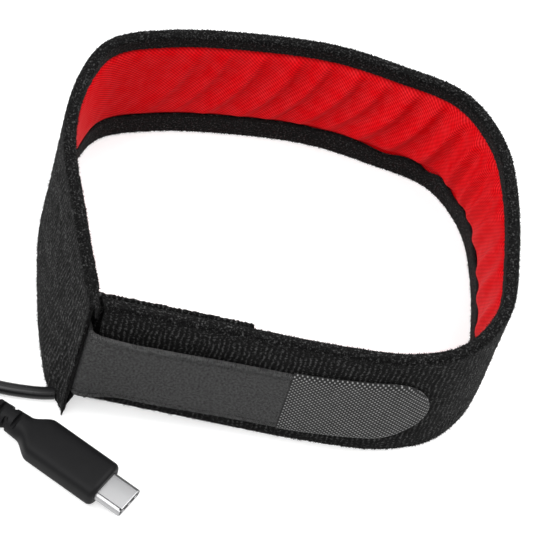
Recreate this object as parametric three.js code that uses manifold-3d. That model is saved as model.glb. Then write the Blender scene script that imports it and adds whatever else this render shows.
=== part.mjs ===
// Heated dew strip for a telescope or lens tube: a soft band standing as a closed loop, with its elastic
// strap and hook tab across the joint, and its lead with a flat reversible plug. Millimetres, +Z up.
import * as THREE from 'three';
import { mergeVertices } from 'three/addons/utils/BufferGeometryUtils.js';
import Module from 'manifold-3d';

const wasm = await Module();
wasm.setup();

// Band
const BAND_HEIGHT = 35.2;
const PILE_THICKNESS = 0.8;
const LIP_LOWER = 6.6;
const LIP_UPPER = 3.7;
const RIM_RADIUS = 0.85;
const LAYER_GAP = 0.15;
const BAND_STEP = 3.5;

// Plan of the loop along the inner face of the band, from its tucked end round to the sewn end
const LOOP_POINTS = [
  [-30.7, -35.5], [-5.7, -32.2], [21.2, -28.4], [36.6, -24.6], [46.8, -18.1], [52.8, -5],
  [51.7, 11], [47.8, 30], [42.5, 43], [32.2, 52.9], [16, 54.9], [0.4, 54.8],
  [-18.2, 50.5], [-36.7, 43.7], [-48.9, 35.6], [-52, 24.3], [-50.5, 6.8], [-40.7, -17],
];
const END_GAP = 0.5;
const START_BEVEL = 1.15;
const START_SPREAD = 2.4;
const START_RUN = 12;

// Lean and slant of the sewn end, which hangs out at its lower corner and draws back at its upper one
const END_LEAN = 5.2;
const LEAN_LENGTH = 68;
const END_CURL = 2.2;
const CURL_LENGTH = 9;
const END_SLANT = 4.4;
const END_CROWN = 3.5;
const CROWN_DEPTH = 8;
const SLANT_LENGTH = 22;

// Layers inside the band
const LINER_SETBACK = 0.1;
const LINER_THICKNESS = 0.25;
const LINER_TUCK = 1.9;
const LINER_TUCK_RUN = 1.4;
const LINER_DIVISIONS = 7;
const PUCKER_CROWN = 0.45;
const PUCKER_DEPTH = 0.75;
const PUCKER_PITCH = 17;
const PUCKER_SLOPE = 0.16;
const WIRE_DIAMETER = 0.4;
const WIRE_CLEARANCE = 0.28;
const WIRE_LOW = 11;
const WIRE_HIGH = 24;
const WIRE_MARGIN = 6;
const WIRE_STEP = 5.4;
const WIRE_EXIT_LOW = 1.3;
const WIRE_EXIT_HIGH = 1.9;
const WIRE_DIP = 0.6;
const WIRE_DROP = 2;
const WIRE_BEND = 1.15;
const WIRE_TURN_STEPS = 6;
const CRIMP_OFFSET = 3.8;
const CARRIER_THICKNESS = 0.2;
const CARRIER_MARGIN = 8.3;
const FOAM_THICKNESS = 0.5;
const FOAM_MARGIN = 5.2;
const LAYER_START = 3;
const HEATER_END = 16;
const LINER_END = 4;
const LINER_STOP = 10.6;

// Facing on the inside of the tucked end
const FACING_LENGTH = 32.5;
const FACING_THICKNESS = 0.8;
const FACING_PROUD = -0.1;
const FACING_START = 0.3;
const FACING_FOOT = 1;

// Elastic strap and hook tab
const STRAP_WIDTH = 20.5;
const STRAP_THICKNESS = 1.1;
const STRAP_EDGE = 0.35;
const STRAP_SEWN = 10;
const STRAP_SEAM = 43.5;
const STRAP_CENTRE_SEWN = 17.2;
const STRAP_CENTRE_SEAM = 15.7;
const STRAP_POCKET = 0.6;
const STRAP_BRIDGE = 1.9;
const STRAP_TURN = 6.5;
const STRAP_SEAT = 0.3;
const TAB_WIDTH = 21.4;
const TAB_THICKNESS = 1.2;
const TAB_END = 74.8;
const TAB_RISE = 1.8;
const TAB_SEAM_GAP = 0.3;
const TAB_STRAIGHT_STEPS = 7;
const TAB_ROUND_STEPS = 6;
const TAB_ROUND_TURN = 1.45;

// Lead
const CABLE_DIAMETER = 3;
const CABLE_SIDES = 8;
const CABLE_END_GAP = 0.3;
const NOTCH_CLEARANCE = 0.3;
const CORE_DIAMETER = 0.7;
const CORE_RUN = 1;
const FLOOR_GAP = 0.02;
const CRIMP_DIAMETER = 1.1;
const CRIMP_LENGTH = 3.4;
const CABLE_OUT = [
  [-37.2, -40.85], [-39.6, -41.8], [-43.4, -42.8], [-49.4, -43.8], [-56.2, -44.2], [-64, -43.2],
  [-73, -40.6], [-82, -38.1], [-90.4, -37],
];
const CABLE_BACK = [[-68, -61.6], [-67.2, -56], [-64.9, -51.2], [-61.3, -48.4]];
const CABLE_STRAIGHT = 4;
const COIL_CENTRE = [-91, -60];
const COIL_MEAN_RADIUS = 17;
const COIL_BUILD = 9.4;
const COIL_LIFT = 0.9;
const TIE_THICKNESS = 0.6;
const TIE_WIDTH = 4;
const TIE_GAP = 0.3;

// Plug: a moulded grip with its slotted sleeve, and the metal shell with what it holds
const PLUG_POSITION = [-19.2, -61.7];
const PLUG_HEADING = -20.5;
const GRIP_WIDTH = 11.1;
const GRIP_HEIGHT = 6.6;
const GRIP_LENGTH = 17.9;
const GRIP_CORNER = 2.9;
const GRIP_NOSE = 1.3;
const NOSE_SIDE = 0.8;
const NOSE_TOP = 0.6;
const NOSE_STEPS = 4;
const GRIP_SIDES = 28;
const FLARE_STEPS = 6;
const FLARE_LENGTH = 5;
const SLEEVE_DIAMETER = 6.2;
const SLEEVE_TIP_DIAMETER = 4.6;
const SLEEVE_LENGTH = 13;
const SLOT_PITCH = 2.3;
const SLOT_WIDTH = 1.2;
const SLOT_DEPTH = 1.6;
const SLOT_COUNT = 5;
const SLOT_START = 1.6;
const SLOT_SPREAD = 1.4;
const SHELL_WIDTH = 8.25;
const SHELL_HEIGHT = 2.4;
const SHELL_WALL = 0.25;
const SHELL_REACH = 6.65;
const SHELL_SEAT = 4;
const SHELL_FIT = 0.1;
const SHELL_SEAM = 0.16;
const SEAM_OFFSET = 0.15;
const SEAM_START = 1;
const SEAM_NOTCH = 0.45;
const INSERT_FIT = 0.08;
const INSERT_SETBACK = 0.7;
const TONGUE_WIDTH = 6.7;
const TONGUE_HEIGHT = 0.8;
const TONGUE_DEPTH = 6;
const CONTACT_PITCH = 0.5;
const CONTACT_WIDTH = 0.26;
const CONTACT_THICKNESS = 0.14;
const CONTACT_UPPER = [1, 4, 5, 9, 12];
const CONTACT_LOWER = [1, 4, 9, 12];
const CONTACT_COUNT = 12;
const CONTACT_TAIL = 1.5;
const LATCH_THICKNESS = 0.2;
const LATCH_LENGTH = 4.6;
const LATCH_RECESS = 0.35;
const PAD_WIDTH = 0.8;
const PAD_LENGTH = 0.55;
const PAD_SPACING = 2.1;
const SPRING_THICKNESS = 0.08;
const LINK_LAP = 0.1;
const CARD_WIDTH = 6.6;
const CARD_THICKNESS = 0.8;
const CARD_LENGTH = 6;
const CARD_ROOM = 0.3;

// How far a cutter passes the face that it opens
const CUT_PAST = 1;

// Thicknesses that follow from the layers
const linerOuter = LINER_SETBACK + LINER_THICKNESS;
const wireCentre = linerOuter + WIRE_CLEARANCE + WIRE_DIAMETER / 2;
const carrierInner = wireCentre + WIRE_DIAMETER / 2 + LAYER_GAP;
const carrierOuter = carrierInner + CARRIER_THICKNESS;
const foamInner = carrierOuter + LAYER_GAP;
const foamOuter = foamInner + FOAM_THICKNESS;
const wallInner = Math.max(foamOuter, PILE_THICKNESS + LAYER_GAP + STRAP_THICKNESS) + LAYER_GAP;
const bandThickness = wallInner + PILE_THICKNESS;

const materials = {
  pile: new THREE.MeshStandardMaterial({ color: 0x1f1f20, roughness: 0.98, metalness: 0 }),
  liner: new THREE.MeshStandardMaterial({ color: 0xd8202a, roughness: 0.5, metalness: 0 }),
  foam: new THREE.MeshStandardMaterial({ color: 0x3a3a3c, roughness: 0.95, metalness: 0 }),
  carrier: new THREE.MeshStandardMaterial({ color: 0xcfcabd, roughness: 0.9, metalness: 0 }),
  wire: new THREE.MeshStandardMaterial({ color: 0x8a8c90, roughness: 0.35, metalness: 1 }),
  elastic: new THREE.MeshStandardMaterial({ color: 0x414143, roughness: 0.85, metalness: 0 }),
  hookTape: new THREE.MeshStandardMaterial({ color: 0x4c4c4e, roughness: 0.75, metalness: 0 }),
  jacket: new THREE.MeshStandardMaterial({ color: 0x2b2b2d, roughness: 0.4, metalness: 0 }),
  coreRed: new THREE.MeshStandardMaterial({ color: 0xb02020, roughness: 0.5, metalness: 0 }),
  coreBlack: new THREE.MeshStandardMaterial({ color: 0x161616, roughness: 0.5, metalness: 0 }),
  grip: new THREE.MeshStandardMaterial({ color: 0x323234, roughness: 0.55, metalness: 0 }),
  steel: new THREE.MeshStandardMaterial({ color: 0xc9c9cb, roughness: 0.25, metalness: 1 }),
  insert: new THREE.MeshStandardMaterial({ color: 0x0c0c0d, roughness: 0.6, metalness: 0 }),
  gold: new THREE.MeshStandardMaterial({ color: 0xd8b45a, roughness: 0.3, metalness: 1 }),
  card: new THREE.MeshStandardMaterial({ color: 0x1f5a36, roughness: 0.6, metalness: 0 }),
};

const strip = new THREE.Group();
const lead = new THREE.Group();

function addPiece(group, name, geometry, material) {
  geometry.computeVertexNormals();
  const mesh = new THREE.Mesh(geometry, material);
  mesh.name = name;
  group.add(mesh);
  return mesh;
}

// Joining and cutting of closed meshes
function toSolid(geometry) {
  const bare = geometry.clone();
  bare.deleteAttribute('normal');
  bare.deleteAttribute('uv');
  const merged = mergeVertices(bare, 1e-4);
  return new wasm.Manifold(new wasm.Mesh({
    numProp: 3,
    vertProperties: new Float32Array(merged.attributes.position.array),
    triVerts: new Uint32Array(merged.index.array),
  }));
}

function fromSolid(solid) {
  const mesh = solid.getMesh();
  const geometry = new THREE.BufferGeometry();
  geometry.setAttribute('position', new THREE.BufferAttribute(new Float32Array(mesh.vertProperties), 3));
  geometry.setIndex(new THREE.BufferAttribute(new Uint32Array(mesh.triVerts), 1));
  return geometry;
}

function cutAway(geometry, tools) {
  let solid = toSolid(geometry);
  for (const tool of tools) {
    solid = solid.subtract(toSolid(tool));
  }
  return fromSolid(solid);
}

// Each vertex of a geometry is moved by a function of its own coordinates
function reshape(geometry, move) {
  const position = geometry.attributes.position;
  const point = new THREE.Vector3();
  for (let i = 0; i < position.count; i += 1) {
    point.fromBufferAttribute(position, i);
    const moved = move(point.x, point.y, point.z);
    position.setXYZ(i, moved.x, moved.y, moved.z);
  }
  return geometry;
}

// The loop's plan: the sewn end stands just outside the tucked end
const firstPoint = new THREE.Vector2(...LOOP_POINTS[0]);
const firstRun = new THREE.Vector2(...LOOP_POINTS[1]).sub(firstPoint).normalize();
const sewnPoint = firstPoint.clone()
  .addScaledVector(firstRun, -END_GAP)
  .add(new THREE.Vector2(firstRun.y, -firstRun.x).multiplyScalar(bandThickness));
const planCurve = new THREE.CatmullRomCurve3(
  [...LOOP_POINTS, [sewnPoint.x, sewnPoint.y]].map(([x, y]) => new THREE.Vector3(x, y, 0)),
  false,
  'centripetal',
);
planCurve.arcLengthDivisions = 1200;
const bandLength = planCurve.getLength();

function planFrame(along) {
  const u = THREE.MathUtils.clamp(along / bandLength, 0, 1);
  const point = planCurve.getPointAt(u);
  const tangent = planCurve.getTangentAt(u);
  point.addScaledVector(tangent, along - u * bandLength);
  return { point, tangent, outward: new THREE.Vector3(tangent.y, -tangent.x, 0) };
}

function ramp(value, from, to) {
  return THREE.MathUtils.smoothstep(value, from, to);
}

// A place on the band: distance along it, distance out from its inner face, height above its foot
function bandPoint(along, out, height) {
  const drop = 1 - height / BAND_HEIGHT;
  const bevel = (START_BEVEL + START_SPREAD * drop) * Math.max(0, 1 - out / bandThickness)
    * (1 - ramp(along, 0, START_RUN));
  const slant = END_SLANT * drop - END_CROWN * ramp(height, BAND_HEIGHT - CROWN_DEPTH, BAND_HEIGHT);
  const slanted = along - bevel + slant * ramp(along, bandLength - SLANT_LENGTH, bandLength);
  const { point, outward } = planFrame(slanted);
  const lean = END_LEAN * ramp(along, bandLength - LEAN_LENGTH, bandLength - CURL_LENGTH)
    - END_CURL * ramp(along, bandLength - CURL_LENGTH, bandLength);
  point.addScaledVector(outward, out + lean * drop);
  point.z = height;
  return point;
}

// A flat section, drawn as height across and distance out, carried along the band
function carryAlongBand(section, from, to, bend = (along, out) => out, step = BAND_STEP) {
  const steps = Math.max(2, Math.round((to - from) / step));
  const geometry = new THREE.ExtrudeGeometry(section, {
    depth: to - from, steps, bevelEnabled: false, curveSegments: 2,
  });
  return reshape(geometry, (height, out, along) => bandPoint(
    from + along, bend(from + along, out, height), height,
  ));
}

function polygon(points) {
  return new THREE.Shape(points.map(([x, y]) => new THREE.Vector2(x, y)));
}

function plate(fromHeight, toHeight, inner, outer) {
  return polygon([[fromHeight, inner], [toHeight, inner], [toHeight, outer], [fromHeight, outer]]);
}

function roundedPlate(width, thickness, radius) {
  const shape = new THREE.Shape();
  const halfWidth = width / 2 - radius;
  const halfThickness = thickness / 2 - radius;
  shape.absarc(halfWidth, halfThickness, radius, 0, Math.PI / 2);
  shape.absarc(-halfWidth, halfThickness, radius, Math.PI / 2, Math.PI);
  shape.absarc(-halfWidth, -halfThickness, radius, Math.PI, 1.5 * Math.PI);
  shape.absarc(halfWidth, -halfThickness, radius, 1.5 * Math.PI, 2 * Math.PI);
  return shape;
}

// Tube along a run of points
function tube(points, diameter, sides, step) {
  const path = new THREE.CatmullRomCurve3(points, false, 'centripetal');
  const section = new THREE.Shape();
  section.absarc(0, 0, diameter / 2, 0, 2 * Math.PI);
  return new THREE.ExtrudeGeometry(polygon(section.getSpacedPoints(sides).slice(0, sides)
    .map((p) => [p.x, p.y])), {
    steps: Math.max(2, Math.round(path.getLength() / step)), extrudePath: path, bevelEnabled: false,
  });
}

// Pile cover: outer wall folded over both rims into two lips on the inner side
function pileSection() {
  const section = new THREE.Shape();
  const top = BAND_HEIGHT;
  const r = RIM_RADIUS;
  section.moveTo(LIP_LOWER, 0);
  section.lineTo(LIP_LOWER, PILE_THICKNESS);
  section.lineTo(PILE_THICKNESS, PILE_THICKNESS);
  section.lineTo(PILE_THICKNESS, wallInner);
  section.lineTo(top - PILE_THICKNESS, wallInner);
  section.lineTo(top - PILE_THICKNESS, PILE_THICKNESS);
  section.lineTo(top - LIP_UPPER, PILE_THICKNESS);
  section.lineTo(top - LIP_UPPER, 0);
  section.absarc(top - r, r, r, -Math.PI / 2, 0);
  section.absarc(top - r, bandThickness - r, r, 0, Math.PI / 2);
  section.absarc(r, bandThickness - r, r, Math.PI / 2, Math.PI);
  section.absarc(r, r, r, Math.PI, 1.5 * Math.PI);
  return section;
}

function cableHeading(points) {
  return new THREE.Vector3(points[1][0] - points[0][0], points[1][1] - points[0][1], 0).normalize();
}

const leadHeight = CABLE_DIAMETER / 2 + FLOOR_GAP;
const cableStart = new THREE.Vector3(...CABLE_OUT[0], leadHeight);
const cableOutward = cableHeading(CABLE_OUT);

function notchTool() {
  const reach = 4 * CABLE_DIAMETER;
  const tool = new THREE.CylinderGeometry(
    CABLE_DIAMETER / 2 + NOTCH_CLEARANCE, CABLE_DIAMETER / 2 + NOTCH_CLEARANCE, reach, 12,
  );
  tool.rotateZ(Math.PI / 2);
  tool.translate(reach / 2 - CABLE_END_GAP - CORE_RUN, 0, 0);
  tool.rotateZ(Math.atan2(cableOutward.y, cableOutward.x));
  tool.translate(cableStart.x, cableStart.y, cableStart.z);
  return tool;
}

addPiece(strip, 'pile_cover', cutAway(
  carryAlongBand(pileSection(), 0, bandLength),
  [notchTool()],
), materials.pile);

// Red liner: edges tucked under the lips, its window gathered into soft puckers
const tuckInner = PILE_THICKNESS + LAYER_GAP;
const tuckOuter = tuckInner + LINER_THICKNESS;
const windowLow = LIP_LOWER + LINER_TUCK_RUN;
const windowHigh = BAND_HEIGHT - LIP_UPPER - LINER_TUCK_RUN;

function linerSection() {
  const inner = [];
  for (let i = 0; i <= LINER_DIVISIONS; i += 1) {
    inner.push([THREE.MathUtils.lerp(windowLow, windowHigh, i / LINER_DIVISIONS), LINER_SETBACK]);
  }
  const low = LIP_LOWER + LAYER_GAP;
  const high = BAND_HEIGHT - LIP_UPPER - LAYER_GAP;
  const lowEdge = LIP_LOWER - LINER_TUCK;
  const highEdge = BAND_HEIGHT - LIP_UPPER + LINER_TUCK;
  return polygon([
    [lowEdge, tuckInner], [low, tuckInner], ...inner, [high, tuckInner],
    [highEdge, tuckInner], [highEdge, tuckOuter], [high, tuckOuter],
    [windowHigh, linerOuter], [windowLow, linerOuter], [low, tuckOuter], [lowEdge, tuckOuter],
  ]);
}

function pucker(along, height) {
  const across = THREE.MathUtils.clamp((height - windowLow) / (windowHigh - windowLow), 0, 1);
  const crown = Math.sin(Math.PI * across);
  const phase = 2 * Math.PI * (along + PUCKER_SLOPE * height) / PUCKER_PITCH;
  const fold = 0.5 + 0.5 * Math.sin(phase + 1.3 * Math.sin(phase / 3.3));
  const settled = ramp(along, FACING_LENGTH + LINER_END, FACING_LENGTH + PUCKER_PITCH)
    * ramp(bandLength - along, LINER_STOP, LINER_STOP + PUCKER_PITCH);
  return crown * settled * (PUCKER_CROWN + PUCKER_DEPTH * fold);
}

addPiece(strip, 'red_liner', carryAlongBand(
  linerSection(), LAYER_START, bandLength - LINER_STOP,
  (along, out, height) => (out < linerOuter - LINER_THICKNESS / 2 ? out - pucker(along, height) : out),
), materials.liner);

// Foam pad and heater carrier
addPiece(strip, 'foam_pad', carryAlongBand(
  plate(FOAM_MARGIN, BAND_HEIGHT - FOAM_MARGIN, foamInner, foamOuter), LAYER_START, bandLength - HEATER_END,
), materials.foam);
addPiece(strip, 'heater_carrier', carryAlongBand(
  plate(CARRIER_MARGIN, BAND_HEIGHT - CARRIER_MARGIN, carrierInner, carrierOuter),
  LAYER_START, bandLength - HEATER_END,
), materials.carrier);

// Heating wire: one hairpin along the carrier, both ends led down to their crimps in the lower hem
const crimpOut = (PILE_THICKNESS + wallInner) / 2;
const crimpLow = PILE_THICKNESS + LAYER_GAP + CRIMP_DIAMETER / 2;
const crimpHigh = crimpLow + CRIMP_DIAMETER + LAYER_GAP;
const crimpStart = bandLength - HEATER_END + CRIMP_OFFSET;
const wireTurn = LAYER_START + WIRE_MARGIN;
const behindLiner = tuckOuter + 2 * LAYER_GAP + WIRE_DIAMETER / 2;

function heatingWirePoints() {
  const points = [];
  const lastRun = bandLength - HEATER_END;
  const runSteps = Math.round((lastRun - wireTurn) / (2 * BAND_STEP));
  const turnRadius = (WIRE_HIGH - WIRE_LOW) / 2;
  const turnReach = Math.min(turnRadius, WIRE_MARGIN - 1);
  const leave = (column, level, crimpHeight) => [
    bandPoint(lastRun + column, wireCentre, level),
    bandPoint(lastRun + column + WIRE_DIP, behindLiner, level - WIRE_DROP),
    bandPoint(lastRun + column + WIRE_DIP, behindLiner, windowLow),
    bandPoint(lastRun + column + WIRE_DIP, crimpOut, crimpHeight + WIRE_BEND),
    bandPoint(crimpStart - LAYER_GAP, crimpOut, crimpHeight),
  ];
  const run = (i, level) => bandPoint(
    THREE.MathUtils.lerp(wireTurn, lastRun, i / runSteps), wireCentre, level,
  );
  points.push(...leave(WIRE_EXIT_LOW, WIRE_LOW, crimpLow).reverse());
  for (let i = runSteps - 1; i >= 0; i -= 1) {
    points.push(run(i, WIRE_LOW));
  }
  for (let i = 1; i < WIRE_TURN_STEPS; i += 1) {
    const angle = Math.PI * (i / WIRE_TURN_STEPS);
    points.push(bandPoint(
      wireTurn - turnReach * Math.sin(angle), wireCentre, WIRE_LOW + turnRadius * (1 - Math.cos(angle)),
    ));
  }
  for (let i = 0; i < runSteps; i += 1) {
    points.push(run(i, WIRE_HIGH));
  }
  points.push(...leave(WIRE_EXIT_HIGH, WIRE_HIGH, crimpHigh));
  return points;
}

addPiece(strip, 'heating_wire', tube(heatingWirePoints(), WIRE_DIAMETER, 5, WIRE_STEP), materials.wire);

function bandRod(from, to, out, height, diameter, sides) {
  return tube([from, (from + to) / 2, to].map((along) => bandPoint(along, out, height)),
    diameter, sides, (to - from) / 2);
}

// Each core turns out of the hem and ends square against the jacket's end
function leadCore(height, landingHeight) {
  const crimpEnd = crimpStart + CRIMP_LENGTH;
  const landing = cableStart.clone().addScaledVector(cableOutward, -CABLE_END_GAP);
  landing.z = landingHeight;
  return tube([
    bandPoint(crimpEnd + LAYER_GAP, crimpOut, height),
    bandPoint(crimpEnd + CORE_RUN, crimpOut, height),
    landing.clone().addScaledVector(cableOutward, -CORE_RUN),
    landing,
  ], CORE_DIAMETER, 6, CORE_RUN);
}

const coreLow = PILE_THICKNESS + LAYER_GAP + CORE_DIAMETER / 2;
const coreHigh = coreLow + CORE_DIAMETER + LAYER_GAP;
for (const [level, height, colour, landingHeight, material] of [
  ['lower', crimpLow, 'red', coreLow, materials.coreRed],
  ['upper', crimpHigh, 'black', coreHigh, materials.coreBlack],
]) {
  addPiece(strip, `crimp_sleeve_${level}`, bandRod(
    crimpStart, crimpStart + CRIMP_LENGTH, crimpOut, height, CRIMP_DIAMETER, 8,
  ), materials.steel);
  addPiece(strip, `lead_core_${colour}`, leadCore(height, landingHeight), material);
}

// Pile facing on the inside of the tucked end, cut raw along its top
addPiece(strip, 'tail_facing', carryAlongBand(
  plate(FACING_FOOT, BAND_HEIGHT + FACING_PROUD, -LAYER_GAP - FACING_THICKNESS, -LAYER_GAP),
  FACING_START, FACING_LENGTH,
), materials.pile);

// Elastic strap: sewn in under the pile at the sewn end, across the joint and over the tucked end
function strapStations() {
  const sewnOut = wallInner - STRAP_POCKET - STRAP_THICKNESS / 2;
  const seatOut = bandThickness + STRAP_SEAT + STRAP_THICKNESS / 2;
  const stations = [
    [bandLength - STRAP_SEWN, sewnOut, 0], [bandLength - 0.6 * STRAP_SEWN, sewnOut, 0],
    [bandLength - 0.25 * STRAP_SEWN, sewnOut, 0], [bandLength, sewnOut - LAYER_GAP, 0],
  ];
  for (let along = STRAP_TURN; along < STRAP_SEAM; along += (STRAP_SEAM - STRAP_TURN) / 6) {
    const settled = ramp(along, STRAP_TURN, STRAP_SEAM);
    stations.push([along, seatOut + STRAP_BRIDGE * (1 - settled), settled]);
  }
  stations.push([STRAP_SEAM, seatOut, 1]);
  return stations;
}

function edgeCurve(stations, side, width) {
  return new THREE.CatmullRomCurve3(stations.map(([along, out, share]) => {
    const centre = THREE.MathUtils.lerp(STRAP_CENTRE_SEWN, STRAP_CENTRE_SEAM, share);
    return bandPoint(along, out, centre + side * width / 2);
  }), false, 'centripetal');
}

function ribbon(section, stations, width, steps) {
  const low = edgeCurve(stations, -1, width);
  const high = edgeCurve(stations, 1, width);
  const geometry = new THREE.ExtrudeGeometry(section, {
    depth: 1, steps, bevelEnabled: false, curveSegments: 2,
  });
  return reshape(geometry, (across, out, share) => {
    const lower = low.getPointAt(share);
    const upper = high.getPointAt(share);
    const side = upper.clone().sub(lower).normalize();
    const travel = low.getTangentAt(share).add(high.getTangentAt(share)).normalize();
    const outward = travel.cross(side).normalize();
    return lower.add(upper).multiplyScalar(0.5).addScaledVector(side, across).addScaledVector(outward, out);
  });
}

addPiece(strip, 'elastic_strap', ribbon(
  roundedPlate(STRAP_WIDTH, STRAP_THICKNESS, STRAP_EDGE), strapStations(), STRAP_WIDTH, 36,
), materials.elastic);

// Hook tab: carries on from the strap's seam and ends in a half round
function hookTab() {
  const start = STRAP_SEAM + TAB_SEAM_GAP;
  const length = TAB_END - start;
  const radius = TAB_WIDTH / 2;
  const straight = length - radius;
  const stations = [];
  for (let i = 0; i <= TAB_STRAIGHT_STEPS; i += 1) {
    stations.push(straight * (i / TAB_STRAIGHT_STEPS));
  }
  for (let i = 1; i <= TAB_ROUND_STEPS; i += 1) {
    stations.push(straight + radius * Math.sin((TAB_ROUND_TURN * i) / TAB_ROUND_STEPS));
  }
  const blank = new THREE.ExtrudeGeometry(roundedPlate(2, TAB_THICKNESS, STRAP_EDGE), {
    depth: stations.length - 1, steps: stations.length - 1, bevelEnabled: false, curveSegments: 2,
  });
  const seat = bandThickness + STRAP_SEAT + TAB_THICKNESS / 2;
  return reshape(blank, (across, out, index) => {
    const x = stations[Math.round(index)];
    const round = Math.max(0, x - straight);
    const half = Math.sqrt(radius * radius - round * round);
    const centre = STRAP_CENTRE_SEAM + TAB_RISE * ramp(x, 0, length);
    return bandPoint(start + x, seat + out, centre + across * half);
  });
}

addPiece(strip, 'hook_tab', hookTab(), materials.hookTape);

// Lead: out of the hem to the stored coil, and from the coil back to the plug
function leadRun(points) {
  return tube(points.map(([x, y]) => new THREE.Vector3(x, y, leadHeight)),
    CABLE_DIAMETER, CABLE_SIDES, 2.2 * CABLE_DIAMETER);
}

const plugTurn = THREE.MathUtils.degToRad(PLUG_HEADING);

// A place on the plug's axis, seen in plan
function plugAxis(x) {
  return [PLUG_POSITION[0] + x * Math.cos(plugTurn), PLUG_POSITION[1] + x * Math.sin(plugTurn)];
}

const cableTip = -GRIP_LENGTH - FLARE_LENGTH - SLEEVE_LENGTH - CABLE_END_GAP;

addPiece(lead, 'cable_out', leadRun(CABLE_OUT), materials.jacket);
addPiece(lead, 'cable_back', leadRun(
  [...CABLE_BACK, plugAxis(cableTip - CABLE_STRAIGHT), plugAxis(cableTip)],
), materials.jacket);

function coilRing() {
  const inner = COIL_MEAN_RADIUS - COIL_BUILD / 2;
  const outer = COIL_MEAN_RADIUS + COIL_BUILD / 2;
  const corner = CABLE_DIAMETER / 2;
  const profile = [
    [inner + corner, 0], [outer - corner, 0], [outer, corner], [outer, COIL_BUILD - corner],
    [outer - corner, COIL_BUILD], [inner + corner, COIL_BUILD], [inner, COIL_BUILD - corner], [inner, corner],
    [inner + corner, 0],
  ].map(([r, z]) => new THREE.Vector2(r, z));
  const ring = new THREE.LatheGeometry(profile, 36);
  ring.rotateX(Math.PI / 2);
  ring.translate(...COIL_CENTRE, COIL_LIFT);
  return ring;
}

addPiece(lead, 'cable_coil', coilRing(), materials.jacket);

// Two ties round the coil, on which it rests
function coilTie(turn) {
  const inner = COIL_BUILD / 2 + TIE_GAP;
  const outer = inner + TIE_THICKNESS;
  const band = roundedPlate(2 * outer, 2 * outer, CABLE_DIAMETER / 2 + TIE_THICKNESS);
  band.holes.push(roundedPlate(2 * inner, 2 * inner, CABLE_DIAMETER / 2));
  const tie = new THREE.ExtrudeGeometry(band, { depth: TIE_WIDTH, bevelEnabled: false, curveSegments: 3 });
  tie.translate(0, 0, -TIE_WIDTH / 2);
  tie.rotateX(Math.PI / 2);
  tie.translate(COIL_MEAN_RADIUS, 0, COIL_LIFT + COIL_BUILD / 2);
  tie.rotateZ(turn);
  tie.translate(...COIL_CENTRE, 0);
  return tie;
}

addPiece(lead, 'coil_tie_near', coilTie(1.5 * Math.PI), materials.elastic);
addPiece(lead, 'coil_tie_far', coilTie(Math.PI), materials.elastic);

// Plug, drawn with its axis along +X and the front face of the grip at x = 0
const plug = new THREE.Group();
plug.position.set(...PLUG_POSITION, GRIP_HEIGHT / 2);
plug.rotation.z = plugTurn;
lead.add(plug);

function alongX(shape, from, to, steps = 1, curveSegments = 5) {
  const geometry = new THREE.ExtrudeGeometry(shape, {
    depth: to - from, steps, bevelEnabled: false, curveSegments,
  });
  geometry.translate(0, 0, from);
  geometry.rotateY(Math.PI / 2);
  geometry.rotateX(Math.PI / 2);
  return geometry;
}

function blockAlongX(width, height, from, to, y = 0, z = 0) {
  const block = new THREE.BoxGeometry(to - from, width, height);
  block.translate((from + to) / 2, y, z);
  return block;
}

// Grip half width, half height and corner at each place along its axis
function gripSize(x) {
  const back = -GRIP_LENGTH;
  const neck = back - FLARE_LENGTH;
  const end = neck - SLEEVE_LENGTH;
  if (x > back) {
    const nose = Math.max(0, (x + GRIP_NOSE) / GRIP_NOSE);
    const inset = GRIP_NOSE * (1 - Math.sqrt(Math.max(0, 1 - nose * nose)));
    return [GRIP_WIDTH / 2 - inset * NOSE_SIDE, GRIP_HEIGHT / 2 - inset * NOSE_TOP];
  }
  if (x > neck) {
    const share = ramp(x, neck, back);
    return [
      THREE.MathUtils.lerp(SLEEVE_DIAMETER / 2, GRIP_WIDTH / 2, share),
      THREE.MathUtils.lerp(SLEEVE_DIAMETER / 2, GRIP_HEIGHT / 2, share),
    ];
  }
  const half = THREE.MathUtils.lerp(SLEEVE_TIP_DIAMETER, SLEEVE_DIAMETER, (x - end) / SLEEVE_LENGTH) / 2;
  return [half, half];
}

function gripBlank() {
  const stations = [-GRIP_LENGTH - FLARE_LENGTH - SLEEVE_LENGTH];
  for (let i = 0; i <= FLARE_STEPS; i += 1) {
    stations.push(-GRIP_LENGTH - FLARE_LENGTH * (1 - i / FLARE_STEPS));
  }
  stations.push(-GRIP_LENGTH / 2);
  for (let i = 0; i <= NOSE_STEPS; i += 1) {
    stations.push(-GRIP_NOSE * (1 - Math.sin((Math.PI / 2) * (i / NOSE_STEPS))));
  }
  const section = [];
  for (let i = 0; i < GRIP_SIDES; i += 1) {
    const angle = 2 * Math.PI * (i / GRIP_SIDES);
    section.push([Math.cos(angle), Math.sin(angle)]);
  }
  const blank = new THREE.ExtrudeGeometry(polygon(section), {
    depth: stations.length - 1, steps: stations.length - 1, bevelEnabled: false,
  });
  return reshape(blank, (cosine, sine, index) => {
    const x = stations[Math.round(index)];
    const [halfWidth, halfHeight] = gripSize(x);
    const squareness = THREE.MathUtils.clamp((halfWidth - SLEEVE_DIAMETER / 2)
      / (GRIP_WIDTH / 2 - SLEEVE_DIAMETER / 2), 0, 1);
    const corner = THREE.MathUtils.lerp(halfHeight, Math.min(GRIP_CORNER, halfHeight), squareness);
    return new THREE.Vector3(
      x,
      Math.sign(cosine) * (halfWidth - corner) * Math.min(1, Math.abs(cosine) * 4) + corner * cosine,
      Math.sign(sine) * (halfHeight - corner) * Math.min(1, Math.abs(sine) * 4) + corner * sine,
    );
  });
}

const cardRear = -SHELL_SEAT - CARD_LENGTH;

function stadium(width, height) {
  return roundedPlate(width, height, height / 2);
}

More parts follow.
